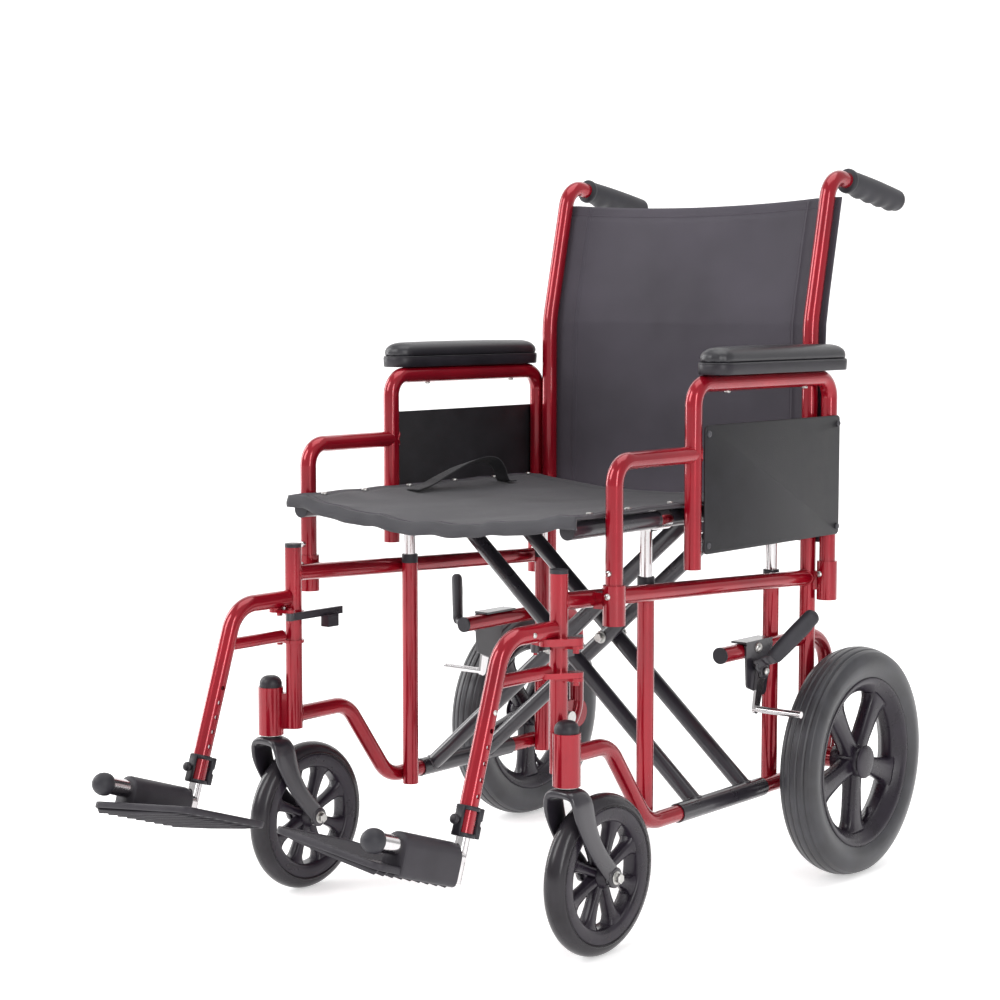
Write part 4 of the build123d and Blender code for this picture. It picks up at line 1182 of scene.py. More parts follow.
# The fork is one swept casting: leg, arched crown and second leg, with an eye at each axle end.
leg_route = [
    (65.0, 100.0, 12.5), (58.0, 109.0, 12.2), (46.0, 121.0, 12.0), (33.0, 136.0, 12.4), (22.0, 152.0, 13.4),
    (13.5, 168.0, 15.2), (8.0, 182.0, 17.2), (4.0, 194.0, 18.6),
]
leg_side = 22.4
leg_thick = 3.6
fork_rings = []
for side in (1, -1):
    route = leg_route if side == 1 else list(reversed(leg_route))
    for i, (run, height, half_wide) in enumerate(route):
        before = route[max(0, i - 1)]
        after = route[min(len(route) - 1, i + 1)]
        along = Vector((0, after[0] - before[0], after[1] - before[1])).normalized()
        wide = Vector((0, along.z, -along.y)) * side
        lean = 1.4 * (height - 100) / 94
        centre = (housing_x + side * (leg_side + lean * 0.3), housing_y + run, height)
        fork_rings.append(rounded_ring(centre, wide, (side, 0, 0), half_wide, leg_thick, 3.4))
    if side == 1:
        corner = [(21.6, 203.6, 0.35), (18.0, 209.6, 0.75), (12.0, 212.4, 0.95), (0.0, 213.0, 1.0)]
        corner += [(-x, z, tip) for x, z, tip in reversed(corner[:-1])]
        for x, z, tip in corner:
            tilt = math.radians(90 * (1 - tip)) if x > 0 else -math.radians(90 * (1 - tip))
            thick = Vector((math.sin(tilt), 0, math.cos(tilt)))
            half_wide = 18.6 - 1.6 * tip
            centre = (housing_x + x, housing_y + 2.5 * (1 - tip), z)
            fork_rings.append(
                rounded_ring(centre, (0, 1, 0), thick, half_wide, 4.0 + 2.4 * tip, 3.4)
            )
cast_fork = loft("cast_fork", [[Vector(p) for p in ring] for ring in fork_rings], black_enamel)
fork_rounding = cast_fork.modifiers.new("rounding", "SUBSURF")
fork_rounding.levels = fork_rounding.render_levels = 1
fork_parts = [cast_fork]
for side in (1, -1):
    eye_profile = [
        (-3.9, 2.0), (-3.9, 11.8), (-3.3, 12.8), (3.3, 12.8), (4.3, 11.8), (4.6, 9.5), (4.6, 2.0),
    ]
    eye_at = (housing_x + side * 22.3, caster_y, 100)
    fork_parts.append(turned("fork_eye", eye_profile, eye_at, (side, 0, 0), black_enamel, 40))
bearing = turned("stem_ring", [(0, 6.0), (0, 13.6), (0.4, 14.0), (1.4, 14.0), (1.6, 13.4), (1.6, 6.0)],
                 (housing_x, housing_y, 219.2), upright, bright_zinc, 40)


def settled(piece):
    """The piece with its modifiers made part of its mesh."""
    bpy.context.view_layer.update()
    evaluated = piece.evaluated_get(bpy.context.evaluated_depsgraph_get())
    mesh = bpy.data.meshes.new_from_object(evaluated)
    piece.modifiers.clear()
    piece.data = mesh
    return piece


settled(cast_fork)
fork = joined("caster_fork_piece", fork_parts)
fit_pair(fork, "caster_fork_piece", "caster_fork", "black_enamel", "caster_fork")
fit_pair(bearing, "stem_ring", "caster_fork", "zinc")
axle_parts = []
for side in (1, -1):
    face = housing_x + side * 26.9
    axle_parts.append(
        turned("washer", [(0, 4), (0, 8.0), (0.3, 8.3), (1.0, 8.3), (1.2, 8.0), (1.2, 4)],
               (face, caster_y, 100), (side, 0, 0), bright_zinc, 32)
    )
    axle_parts.append(
        fastened("nut", [((face + side * 1.2, caster_y, 100), (side, 0, 0))], hex_shape, 6.4, bright_zinc)
    )
axle_parts.append(
    turned("pin", [(-26.0, 3.95), (26.0, 3.95)], caster_centre, sideways, bright_zinc, 24)
)
caster_bolt = joined("caster_bolt", axle_parts)
fit_pair(caster_bolt, "caster_bolt", "caster_fork", "zinc", "caster_axle")

# ---- rear wheels ------------------------------------------------------------------------------
# Five-spoke moulded wheel with a deep rim, a snap-on hub cap and a pneumatic tyre whose tread
# is four grooves run round it. The valve stands on the rim's inner wall with its cap on.
wheel_x = 290.0
wheel_y = back(582)
wheel_radius = 159.0
wheel_centre = (wheel_x, wheel_y, wheel_radius)

# Carbon-black tyre rubber: a dusty charcoal with a soft sheen and faint moulding marks.
tyre_rubber, tree, shader = new_material("vulcanised_tyre_rubber")
place = node(tree, "ShaderNodeTexCoord")
cloud = node(tree, "ShaderNodeTexNoise", {"Vector": place.outputs["Object"], "Scale": 22.0, "Detail": 6.0})
tone = node(tree, "ShaderNodeValToRGB", {"Fac": cloud.outputs["Fac"]})
tone.color_ramp.elements[0].position = 0.3
tone.color_ramp.elements[0].color = srgb("#29282b")
tone.color_ramp.elements[1].position = 0.75
tone.color_ramp.elements[1].color = srgb("#3d3d42")
gloss = node(tree, "ShaderNodeMapRange", {"Value": cloud.outputs["Fac"], "To Min": 0.28, "To Max": 0.44})
fine = node(tree, "ShaderNodeTexNoise", {"Vector": place.outputs["Object"], "Scale": 900.0, "Detail": 2.0})
bump = node(tree, "ShaderNodeBump", {"Height": fine.outputs["Fac"], "Strength": 0.15, "Distance": 0.0004})
tree.links.new(tone.outputs["Color"], shader.inputs["Base Color"])
tree.links.new(gloss.outputs["Result"], shader.inputs["Roughness"])
tree.links.new(bump.outputs["Normal"], shader.inputs["Normal"])

grooves = (-15.0, -5.2, 5.2, 15.0)


def tread_radius(x):
    """Outer radius of the tyre at a distance from its middle plane."""
    radius = wheel_radius - 0.0125 * x * x
    for groove in grooves:
        radius -= 2.4 * bell(x, groove, 1.15) ** 2
    return radius


def sidewall(side, degrees):
    """Point on the bulge of one sidewall, its angle counted from the bead."""
    angle = math.radians(degrees)
    return side * 27.0 * math.sin(angle), 133.0 - 16 * math.cos(angle)


tyre_profile = [(-19.0, 114.0), (-20.6, 116.5), (-22.6, 119.0)]
tyre_profile += [sidewall(-1, angle) for angle in (66, 90)]
tyre_profile += [(-26.4, 141.0), (-24.6, 147.0)]
tyre_profile += [(x, tread_radius(x)) for x in spread(-22.4, 22.4, 0.9)]
tyre_profile += [(24.6, 147.0), (26.4, 141.0)]
tyre_profile += [sidewall(1, angle) for angle in (90, 66)]
tyre_profile += [(22.6, 119.0), (20.6, 116.5), (19.0, 114.0), (12.0, 112.2), (-12.0, 112.2)]
tyre = turned("tyre", tyre_profile, wheel_centre, sideways, tyre_rubber, 128, closed=True)
fit_pair(tyre, "tyre", "rear_wheel", "tyre_rubber", "rear_tyre")

rim_profile = [
    (-17.0, 112.4), (-19.6, 114.6), (-21.4, 117.6), (-22.6, 117.8), (-23.0, 115.4), (-21.4, 110.6),
    (-19.0, 107.0), (-12.0, 102.0), (-9.0, 98.4), (-6.0, 97.2), (6.0, 97.2), (9.0, 98.4), (12.0, 102.0),
    (19.0, 107.0), (21.4, 110.6), (23.0, 115.4), (22.6, 117.8), (21.4, 117.6), (19.6, 114.6), (17.0, 112.4),
]
rim = turned("rim", rim_profile, wheel_centre, sideways, wheel_nylon, 128, closed=True)
rim_hub = turned(
    "rim_hub",
    [
        (-25, 6.3), (-25, 19.0), (-23.5, 20.6), (-12, 21.4), (0, 23.6), (12, 21.4), (19.6, 20.8),
        (19.8, 17.0),
    ],
    wheel_centre,
    sideways,
    wheel_nylon,
    56,
)
spoke_stations = [
    (14.0, 14.0, 12.0), (22.0, 11.6, 11.4), (40.0, 11.8, 10.4), (65.0, 14.0, 10.0), (84.0, 16.2, 10.4),
    (92.0, 18.6, 11.2), (97.0, 23.0, 12.0), (100.0, 27.0, 12.6),
]
rim_spokes = wheel_spokes("rim_spokes", 5, 54.0, spoke_stations, wheel_centre, wheel_nylon)
hub_cap = turned(
    "hub_cap",
    [(19.4, 18.0), (19.4, 22.2), (20.0, 22.9), (21.6, 22.9), (22.6, 22.0), (23.4, 19.4), (24.2, 14.0),
     (24.7, 7.0), (24.9, 0.4)],
    wheel_centre,
    sideways,
    wheel_nylon,
    56,
)
valve_angle = math.radians(-68)
valve_out = Vector((0, math.cos(valve_angle), math.sin(valve_angle)))
valve_aim = (valve_out * -1 + Vector((0.55, 0, 0))).normalized()
valve_foot = Vector(wheel_centre) + valve_out * 99
valve = turned(
    "valve",
    [(-3, 5.6), (0, 5.4), (3, 4.2), (7, 3.2), (15, 3.0), (15.2, 4.0), (17.0, 4.6), (24.0, 4.4), (26.0, 3.6),
     (26.6, 0.4)],
    valve_foot,
    valve_aim,
    wheel_nylon,
    24,
)
rear_rim = joined("rear_rim_piece", [rim, rim_hub, rim_spokes, hub_cap, valve])
fit_pair(rear_rim, "rear_rim_piece", "rear_wheel", "black_plastic", "rear_rim")

# ---- push grips -------------------------------------------------------------------------------
# Moulded soft-rubber grips pushed over the cane ends: a flange in front, four finger swells
# underneath and a closed, rounded rear end.
grip_rubber = moulded_plastic("moulded_soft_rubber", "#232227", "#302f35", 0.42, 0.6, 0.8, 0.3)
cane_corner = Vector((cane_x, back(607), 972))
cane_tip = Vector((cane_x, back(795), 942))
grip_run = (cane_tip - cane_corner).normalized()
grip_up = Vector((1, 0, 0)).cross(grip_run)
grip_up = grip_up if grip_up.z > 0 else -grip_up
grip_start = 44.0
grip_end = (cane_tip - cane_corner).length + 6.5
grip_rings = []
for along in spread(grip_start, grip_end, 2.0):
    share = (along - grip_start) / (grip_end - grip_start)
    width = 14.6 + 0.7 * math.sin(share * math.pi)
    height = 15.2 + 1.6 * math.sin(share * math.pi * 0.9 + 0.3)
    if share < 0.05:
        width += 1.6
        height += 1.6
    finger = 2.6 * math.sin((share - 0.12) / 0.8 * 4 * math.pi) ** 2 if 0.12 < share < 0.92 else 0.0
    close = max(0.0, (share - 0.94) / 0.06)
    shrink = math.sqrt(max(0.02, 1 - close * close))
    front = min(1.0, (along - grip_start) / 2.0)
    shrink *= 0.93 + 0.07 * front
    centre = cane_corner + grip_run * along
    ring = []
    for step in range(36):
        angle = 2 * math.pi * step / 36
        rise = math.sin(angle)
        lower = max(0.0, -rise) ** 1.5
        reach = height * rise * (1.0 if rise > 0 else 1.02) - finger * lower
        sideward = Vector((1, 0, 0)) * (width * math.cos(angle) * shrink)
        ring.append(centre + sideward + grip_up * (reach * shrink))
    grip_rings.append(ring)
grip = loft("push_grip_piece", grip_rings, grip_rubber)
fit_pair(grip, "push_grip_piece", "frame", "soft_rubber", "push_grip")

# ---- armrests ---------------------------------------------------------------------------------
# Padded vinyl over foam, stretched onto a moulded base that is screwed to the armrest tube from
# below. The side panel is textured sheet held by a screw at each corner.
panel_plastic = moulded_plastic("leathergrain_panel", "#19181b", "#222125", 0.42, 0.56, 1.6, 0.5)
pad_vinyl, tree, shader = new_material("padded_vinyl")
place = node(tree, "ShaderNodeTexCoord")
cloud = node(tree, "ShaderNodeTexNoise", {"Vector": place.outputs["Object"], "Scale": 18.0, "Detail": 4.0})
tone = node(tree, "ShaderNodeValToRGB", {"Fac": cloud.outputs["Fac"]})
tone.color_ramp.elements[0].color = srgb("#1e1d21")
tone.color_ramp.elements[1].color = srgb("#2a292e")
creases = node(tree, "ShaderNodeTexVoronoi", {"Vector": place.outputs["Object"], "Scale": 620.0},
               feature="DISTANCE_TO_EDGE")
grain = node(tree, "ShaderNodeMapRange", {"Value": creases.outputs["Distance"], "From Max": 0.25})
bump = node(
    tree, "ShaderNodeBump", {"Height": grain.outputs["Result"], "Strength": 0.12, "Distance": 0.0004}
)
gloss = node(tree, "ShaderNodeMapRange", {"Value": cloud.outputs["Fac"], "To Min": 0.3, "To Max": 0.42})
tree.links.new(tone.outputs["Color"], shader.inputs["Base Color"])
tree.links.new(gloss.outputs["Result"], shader.inputs["Roughness"])
tree.links.new(bump.outputs["Normal"], shader.inputs["Normal"])

pad_x = 268.7
pad_front = back(244)
pad_rear = back(564)
pad_half = 25.5
pad_low = 703.2
pad_seam = 718.0
pad_top = 740.0


def pad_outline(inset, height, corner=23.0, steps=10):
    """Rounded-rectangle ring round the armrest pad, its front end a little fuller."""
    half = pad_half - inset
    front = pad_front + inset
    rear = pad_rear - inset
    radius = max(2.0, corner - inset * 0.6)
    ring = []
    corners = [
        (pad_x + half - radius, front + radius, -90), (pad_x + half - radius, rear - radius, 0),
        (pad_x - half + radius, rear - radius, 90), (pad_x - half + radius, front + radius, 180),
    ]
    for i, (x, y, start) in enumerate(corners):
        for step in range(steps + 1):
            angle = math.radians(start + 90 * step / steps)
            ring.append(Vector((x + radius * math.cos(angle), y + radius * math.sin(angle), height)))
        if i in (0, 2):
            first = ring[-1]
            span = 24
            target = front + radius if i == 2 else rear - radius
            for k in range(1, span):
                ring.append(Vector((first.x, first.y + (target - first.y) * k / span, height)))
    return ring


base_rings = [
    pad_outline(7.0, pad_low), pad_outline(2.0, pad_low), pad_outline(1.0, pad_low + 1.0),
    pad_outline(0.4, pad_seam - 2.2), pad_outline(1.0, pad_seam - 1.0), pad_outline(3.0, pad_seam - 0.8),
]
pad_base = loft("pad_base", base_rings, black_nylon)
piping_rings = []
for turn_step in range(9):
    angle = 2 * math.pi * turn_step / 8
    piping_rings.append(pad_outline(1.6 - 1.1 * math.cos(angle), pad_seam - 0.4 + 1.1 * math.sin(angle)))
piping = loft("piping", piping_rings, pad_vinyl, capped=False)
pad_shoulder = pad_seam + 5.5
pad_rings = [
    pad_outline(2.4, pad_seam - 0.4), pad_outline(1.6, pad_seam + 1.0), pad_outline(1.2, pad_shoulder),
]
for step in range(1, 9):
    angle = math.radians(90 * step / 8)
    rise = (pad_top - pad_seam - 7.5) * math.sin(angle)
    pad_rings.append(pad_outline(1.2 + 20.0 * (1 - math.cos(angle)), pad_shoulder + rise))
foam = loft("foam", pad_rings, pad_vinyl)
swell = foam.copy()
swell.data = foam.data.copy()
scene.collection.objects.link(swell)
voxels = swell.modifiers.new("voxels", "REMESH")
voxels.mode = "VOXEL"
voxels.voxel_size = 0.0042
settled(swell)
before = [vertex.co.copy() for vertex in swell.data.vertices]
held = swell.vertex_groups.new(name="held")
held.add(
    [v.index for v in swell.data.vertices if v.co.z < (pad_seam + 2.5) * mm], 1.0, "REPLACE"
)
cloth = swell.modifiers.new("vinyl", "CLOTH")
cloth.settings.use_pressure = True
cloth.settings.uniform_pressure_force = 4.0
cloth.settings.quality = 6
cloth.settings.tension_stiffness = 40.0
cloth.settings.effector_weights.gravity = 0.0
cloth.settings.vertex_group_mass = "held"
for step in range(1, 21):
    scene.frame_set(step)
evaluated = swell.evaluated_get(bpy.context.evaluated_depsgraph_get())
inflated = bpy.data.meshes.new_from_object(evaluated)
swell.modifiers.clear()
scene.frame_set(1)
cap = 3.0 * mm
for vertex, start in zip(inflated.vertices, before):
    move = vertex.co - start
    if move.length > cap:
        vertex.co = start + move.normalized() * cap
    vertex.co.z = min(vertex.co.z, (pad_top + 2.0) * mm)
for polygon in inflated.polygons:
    polygon.use_smooth = True
swell.data = inflated
bpy.data.objects.remove(foam)
foam = swell
smoother = foam.modifiers.new("smoother", "SMOOTH")
smoother.factor = 0.5
smoother.iterations = 4
finer = foam.modifiers.new("finer", "SUBSURF")
finer.levels = finer.render_levels = 1
settled(foam)
# Gathered puckers where the vinyl turns the pad's corners.
for vertex in foam.data.vertices:
    point = vertex.co / mm
    near_front = bell(point.y, pad_front + 8, 13.0) + bell(point.y, pad_rear - 8, 13.0)
    low = bell(point.z, pad_seam + 5, 7.0)
    ripple = math.sin((point.x - pad_x) * 0.55 + point.y * 0.35)
    outward = Vector((point.x - pad_x, 0, 0))
    if outward.length > 1:
        vertex.co += outward.normalized() * (0.5 * ripple * near_front * low * mm)
    vertex.co.z -= 1.2 * bell(point.x, pad_x + 10, 3.0) * bell(point.y, pad_front + 14, 9.0) * low * mm
foam.data.materials.clear()
foam.data.materials.append(pad_vinyl)
left_pad, right_pad = fit_pair(foam, "arm_cushion", "armrest", "vinyl", "arm_pad")
fit_pair(joined("pad_base_piece", [pad_base, piping]), "pad_base_piece", "armrest", "black_plastic")
under_screws = fastened(
    "pad_screws",
    [((arm_x, back(distance), 692 - 11.0), (0, 0, -1)) for distance in (310.0, 500.0)],
    screw_shape,
    4.0,
    bright_zinc,
)
fit_pair(under_screws, "pad_screws", "armrest", "zinc")

panel_inner = arm_x + tube_radius + 0.05
panel_front = back(240)
panel_rear = back(571)
panel_rings = []
for inset, x in ((0.7, 0.0), (0.0, 0.6), (0.0, 2.2), (0.8, 2.9)):
    ring = []
    radius = 6.0
    corners = [
        (panel_rear - radius, 640 - radius, 0), (panel_front + radius, 640 - radius, 90),
        (panel_front + radius, 476 + radius, 180), (panel_rear - radius, 476 + radius, 270),
    ]
    for i, (y, z, start) in enumerate(corners):
        for step in range(7):
            angle = math.radians(start + 15 * step)
            reach = radius - inset
            edge = (y + reach * math.cos(angle), z + reach * math.sin(angle))
            ring.append(Vector((panel_inner + x, *edge)))
    panel_rings.append(ring)
panel = loft("side_panel", panel_rings, panel_plastic)
fit_pair(panel, "side_panel", "armrest", "black_plastic", "arm_panel")
panel_screws = fastened(
    "panel_screws",
    [((panel_inner + 2.8, y, z), (1, 0, 0)) for y in (panel_front + 7, back(565)) for z in (487, 629)],
    screw_shape,
    4.2,
    moulded_plastic("black_oxide_screw", "#333236", "#4a494e", 0.3, 0.4, 0.6, 0.1),
)
fit_pair(panel_screws, "panel_screws", "armrest", "zinc", "arm_screws")

weld_step = beads(
    "arm_beads",
    [
        joint_ring(
            (arm_x, back(222), 603), (0, 1, 0), branch_radius, (arm_x, back(233), 0), upright, tube_radius
        )
    ],
    cherry_enamel,
)
fit_pair(weld_step, "arm_beads", "armrest", "red_enamel")

# ---- leg rests --------------------------------------------------------------------------------
# The chrome foot tube is held in the leg by a moulded collar with a ball-headed thumbscrew. Its
# rod carries the flip-up footplate and ends in a moulded ball.
leg_bottom = on_leg(188)
collar_low = leg_bottom + leg_run * 2.0
collar_parts = []
for offset in (0.0, 31.0):
    ring_at = collar_low - leg_run * offset
    collar_parts.append(
        turned(
            "collar",
            [(0, 11.2), (0, 13.2), (0.7, 14.0), (4.3, 14.0), (5.0, 13.2), (5.0, 11.2)],
            ring_at,
            -leg_run,
            black_nylon,
            48,
            closed=True,
        )
    )
spine_rings = []
spine_steps = [
    (0.4, 1.2), (1.4, 0.0), (14.0, 0.0), (16.0, 2.2), (20.0, 2.2), (22.0, 0.0), (34.6, 0.0), (35.6, 1.2),
]
for offset, inset in spine_steps:
    centre = collar_low - leg_run * offset - leg_face * 15.2
    half_wide = 10.0 - inset * 0.6
    spine_rings.append(rounded_ring(centre, (1, 0, 0), leg_face, half_wide, 5.0 - inset * 0.7, 4.0))
collar_parts.append(loft("spine", spine_rings, black_nylon))
bridge_rings = [
    rounded_ring(collar_low - leg_run * offset + leg_face * 13.2, (1, 0, 0), leg_face, 6.0, 2.2, 4.0)
    for offset in (1.0, 35.0)
]
collar_parts.append(loft("bridge", bridge_rings, black_nylon))
collar = joined("foot_collar", collar_parts)
fit_pair(collar, "foot_collar", "hanger", "black_plastic", "foot_clamp")
knob_at = collar_low - leg_run * 18.0 + leg_face * 11.6
knob = turned(
    "thumbscrew",
    [
        (0, 2.9), (6.0, 2.9), (6.2, 4.4), (7.4, 5.6), (9.2, 6.1), (11.4, 5.6), (12.8, 4.0), (13.3, 1.6),
        (13.4, 0.2),
    ],
    knob_at,
    leg_face,
    black_nylon,
    32,
)
fit_pair(knob, "thumbscrew", "foot_knob", "black_plastic", "foot_knob")

rod_start = on_leg(163)
rod_tip = rod_start + leg_face * 146.0
ball = turned(
    "rod_ball_piece",
    [(-7.0, 11.1), (-7.0, 12.4), (-5.6, 13.6), (-2.0, 14.2), (2.0, 14.1), (6.0, 13.0), (10.0, 10.6),
     (13.0, 7.4), (15.2, 3.6), (15.8, 0.3)],
    rod_tip + leg_face * 4.5,
    leg_face,
    grip_rubber,
    40,
)
fit_pair(ball, "rod_ball_piece", "foot_slider", "black_plastic", "rod_ball")

# The footplate is one moulding: a sleeve round the rod, a deep outer wall and a thin plate with
# a fine diamond top, a rolled lip and ribs underneath.
plate_plastic = moulded_plastic("moulded_footplate", "#252228", "#312e34", 0.4, 0.56, 1.0, 0.35)
plate_up = Vector((1, 0, 0)).cross(leg_face)
plate_up = plate_up if plate_up.z > 0 else -plate_up
sleeve_from = 12.2
plate_length = 138.0
plate_slope = math.tan(math.radians(6))
plate_inner = -152.0
plate_outer = 14.5
plate_drop = 24.0


def on_plate(out, along, rise):
    """Point in the footplate's own frame: outward, forward along the rod, up from its centre."""
    return rod_start + Vector((1, 0, 0)) * out + leg_face * (sleeve_from + along) + plate_up * rise


def plate_level(out):
    """Height of the plate's top face under the rod at a place across it."""
    return -plate_drop + (plate_outer - out) * plate_slope


section = [(-16.4, 2.0)]
for a in range(170, 9, -16):
    section.append((16.5 * math.cos(math.radians(a)), 16.5 * math.sin(math.radians(a))))
section += [
    (16.5, 0.0), (16.5, -12.0), (16.2, -27.0), (15.2, -31.5), (12.0, -33.5), (4.0, -33.0),
    (-8.0, -31.6), (-14.0, -29.0), (-16.2, -24.0), (-16.5, -10.0),
]
wall_rings = []
sleeve_steps = [
    (0.0, 0.94), (1.2, 0.985), (3.0, 1.0), (50.0, 1.0), (96.5, 1.0), (98.8, 0.985), (100.0, 0.94),
]
for along, shrink in sleeve_steps:
    wall_rings.append([on_plate(u * shrink, along, (v + 8) * shrink - 8) for u, v in section])
sleeve = loft("sleeve", wall_rings, plate_plastic)


def plate_outline(inset):
    """Plan of the footplate as (outward, forward) pairs, its corners rounded."""
    outline = []
    radius = 13.0
    low_u, high_u = plate_inner + inset, plate_outer - inset
    low_w, high_w = inset, plate_length - inset
    corners = [
        (high_u - radius, high_w - radius, 0), (low_u + radius, high_w - radius, 90),
        (low_u + radius, low_w + radius, 180), (high_u - radius, low_w + radius, 270),
    ]
    for u, w, start in corners:
        for step in range(9):
            angle = math.radians(start + 90 * step / 8)
            outline.append((u + radius * math.cos(angle), w + radius * math.sin(angle)))
    return outline


plate_rings = []
plate_steps = [
    (3.5, -5.6), (0.8, -6.4), (0.0, -5.2), (0.0, 0.2), (0.5, 1.3), (1.6, 1.6), (2.8, 1.2), (3.6, 0.1),
]
for inset, rise in plate_steps:
    plate_rings.append([on_plate(u, w, plate_level(u) + rise) for u, w in plate_outline(inset)])
plate = loft("plate", plate_rings, plate_plastic)

rib_tree, given = new_tree(
    "plate_ribs",
    [
        ("Count", "NodeSocketInt", 8),
        ("Pitch", "NodeSocketVector", (0.0, 0.0, 0.0)),
        ("Finish", "NodeSocketMaterial", None),
    ],
)
rib_line = node(
    rib_tree,
    "GeometryNodeMeshLine",
    {"Count": given.outputs["Count"], "Offset": given.outputs["Pitch"]},
)
rib_set = node(
    rib_tree,
    "GeometryNodeInstanceOnPoints",
    {"Points": rib_line.outputs["Mesh"], "Instance": given.outputs["Geometry"]},
)
end_tree(rib_tree, rib_set.outputs["Instances"], given)
rib_rings = []
for u, depth in ((-146.0, 1.0), (-120.0, 3.6), (-60.0, 6.2), (4.0, 7.4), (9.0, 2.0)):
    level = plate_level(u) - 5.2
    rib_rings.append(
        [on_plate(u, w, level - drop) for w, drop in ((5.0, 0.0), (5.3, depth), (6.7, depth), (7.0, 0.0))]
    )
rib = loft("rib", rib_rings, plate_plastic)
ribs = grown(
    "ribs", rib, rib_tree, {"Count": 9, "Pitch": tuple(leg_face * 15.6 * mm), "Finish": plate_plastic}
)

stud_tree, given = new_tree(
    "plate_studs",
    [
        ("Stud", "NodeSocketObject", None),
        ("Finish", "NodeSocketMaterial", None),
    ],
)
stud_shape = node(stud_tree, "GeometryNodeObjectInfo", {"Object": given.outputs["Stud"]})
stud_set = node(
    stud_tree,
    "GeometryNodeInstanceOnPoints",
    {"Points": given.outputs["Geometry"], "Instance": stud_shape.outputs["Geometry"]},
)
end_tree(stud_tree, stud_set.outputs["Instances"], given)
stud_half = 1.35
stud_points = []
stud_corners = [(stud_half, 0, 0), (0, stud_half, 0), (-stud_half, 0, 0), (0, -stud_half, 0), (0, 0, 0.9)]
for u, v, rise in stud_corners:
    stud_points.append(Vector((u, 0, 0)) + leg_face * v + plate_up * (rise - u * plate_slope))
stud_faces = [(0, 1, 4), (1, 2, 4), (2, 3, 4), (3, 0, 4)]
stud = mesh_object("stud", stud_points, stud_faces, plate_plastic, smooth=False)
stud_places = []
for row, w in enumerate(spread(7.0, plate_length - 7.0, 3.1)):
    for u in spread(plate_inner + 7 + (row % 2) * 1.55, plate_outer - 34 + (row % 2) * 1.55, 3.1):
        stud_places.append(on_plate(u, w, plate_level(u) + 0.1) * mm)
stud_mesh = bpy.data.meshes.new("stud_places")
stud_mesh.from_pydata(stud_places, [], [])
stud_host = bpy.data.objects.new("stud_places", stud_mesh)
scene.collection.objects.link(stud_host)
studs = grown("studs", stud_host, stud_tree, {"Stud": stud, "Finish": plate_plastic})
bpy.data.objects.remove(stud)
footplate = joined("footplate_piece", [sleeve, plate, ribs, studs])
fit_pair(footplate, "footplate_piece", "footplate", "black_plastic", "footplate")

# ---- brakes -----------------------------------------------------------------------------------
# Pressed-steel bracket clamped on the brake stub, a toggle lever with a ribbed moulded grip and
# a plated shoe bar. Bolts and rivets are zinc-plated.
stub_z = 328.0
brake_y = back(425)
brake_z = 300.0
bracket_out = half_track + tube_radius + 3.0
bolt_at = (bracket_out + 0.3, brake_y - 4, stub_z + 4)
bracket_bolts = fastened("bracket_bolts", [(bolt_at, (1, 0, 0))], rivet_shape, 7.0, bright_zinc)
fit_pair(bracket_bolts, "bracket_bolts", "frame", "zinc")
pin_head = fastened(
    "brake_pin_head", [((bracket_out + 11.6, brake_y, brake_z), (1, 0, 0))], rivet_shape, 5.0, bright_zinc
)
fit_pair(pin_head, "brake_pin_head", "frame", "zinc")

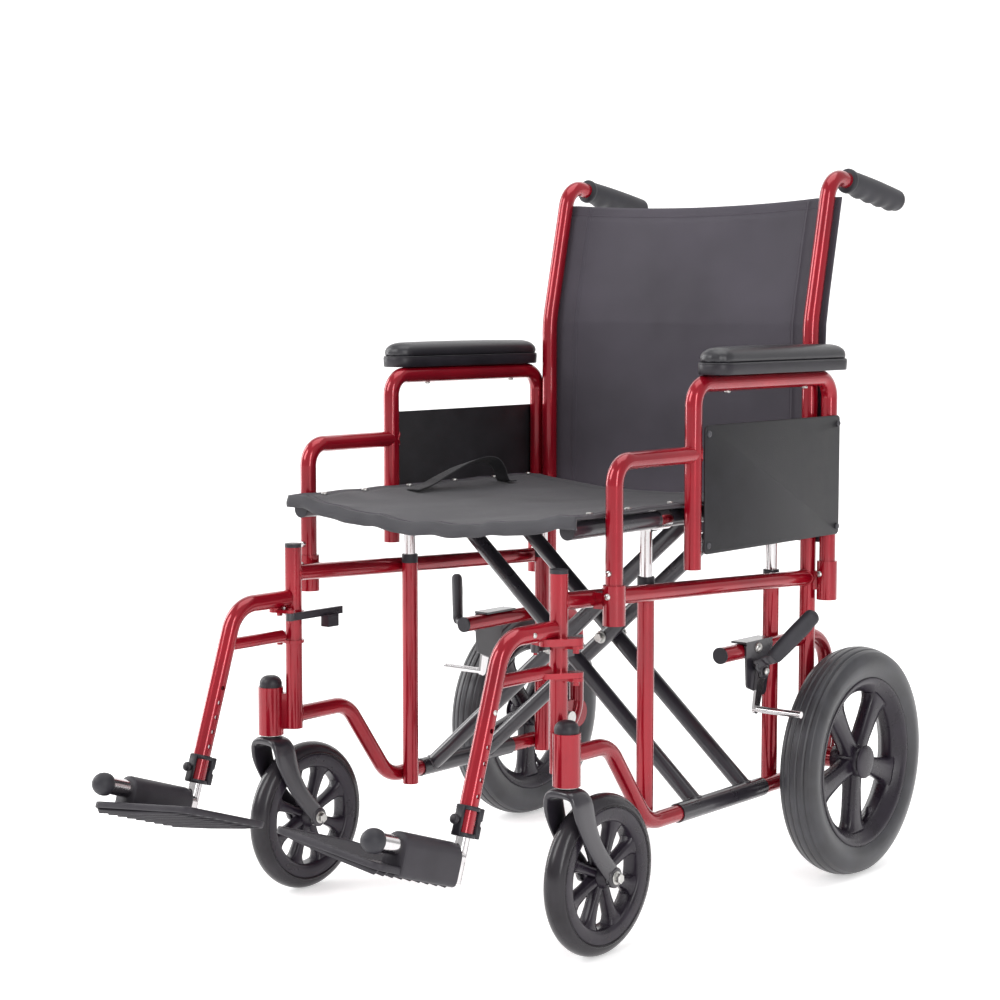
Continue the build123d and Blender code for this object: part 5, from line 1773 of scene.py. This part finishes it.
lever_foot = Vector((243.3, brake_y - 16, brake_z + 12))
lever_elbow = Vector((273.5, brake_y - 27, brake_z + 24))
lever_tip = Vector((310.0, brake_y + 14, brake_z + 80))
grip_way = (lever_tip - lever_elbow).normalized()
grip_wide = grip_way.cross(Vector((1, -0.4, 0.2))).normalized()
grip_thick = grip_way.cross(grip_wide).normalized()
strip_rings = []
for point, half_wide, half_thick in (
    (lever_foot + Vector((0, -2, -3)), 8.0, 2.0), (lever_foot, 8.0, 2.0),
    (lever_foot * 0.6 + lever_elbow * 0.4, 7.6, 2.4), (lever_elbow - grip_way * 2, 7.4, 3.0),
    (lever_elbow + grip_way * 12, 7.2, 3.0),
):
    strip_rings.append(rounded_ring(point, grip_wide, grip_thick, half_wide, half_thick, 4.0, 16))
strip = loft("lever_strip", strip_rings, black_enamel)
eye = turned(
    "lever_eye", [(0, 4.1), (0, 9.4), (0.5, 10.0), (3.5, 10.0), (4.0, 9.4), (4.0, 4.1)],
    (241.3, brake_y, brake_z), sideways, black_enamel, 40, closed=True,
)
link_rings = [
    rounded_ring((243.3, brake_y + y, brake_z + z), (0, 0.6, 0.8), (1, 0, 0), w, 2.0, 4.0, 16)
    for y, z, w in ((-2, 1, 8.6), (-8, 6, 8.4), (-15, 11, 8.0), (-18, 14, 6.0))
]
link = loft("lever_link", link_rings, black_enamel)
handle_rings = []
handle_length = (lever_tip - lever_elbow).length + 6
for along in spread(0.0, handle_length, 1.5):
    share = along / handle_length
    swell = 10.2 + 1.6 * math.sin(share * math.pi)
    close = max(0.0, (share - 0.9) / 0.1)
    closing = math.sqrt(max(0.03, 1 - close * close))
    opening = 0.86 + 0.14 * min(1.0, share / 0.05)
    ridge = 0.8 * (math.sin(along * 2.1) > 0) if 0.6 < share < 0.78 else 0.0
    ring = rounded_ring(
        lever_elbow + grip_way * along, grip_wide, grip_thick, swell * closing * opening,
        (7.4 + 0.6 * share) * closing * opening, 2.6, 24,
    )
    centre = lever_elbow + grip_way * along
    ridged = []
    for point in ring:
        out = point - centre
        ridged.append(point + out.normalized() * (ridge * max(0.0, out.dot(grip_wide)) / 9))
    handle_rings.append(ridged)
handle = loft("lever_handle", handle_rings, grip_rubber)
lever = joined("brake_lever_piece", [strip, eye, link, handle])
fit_pair(lever, "brake_lever_piece", "brake_lever", "black_plastic", "brake_lever")

for shape in (rivet_shape, screw_shape, hex_shape):
    bpy.data.objects.remove(shape)
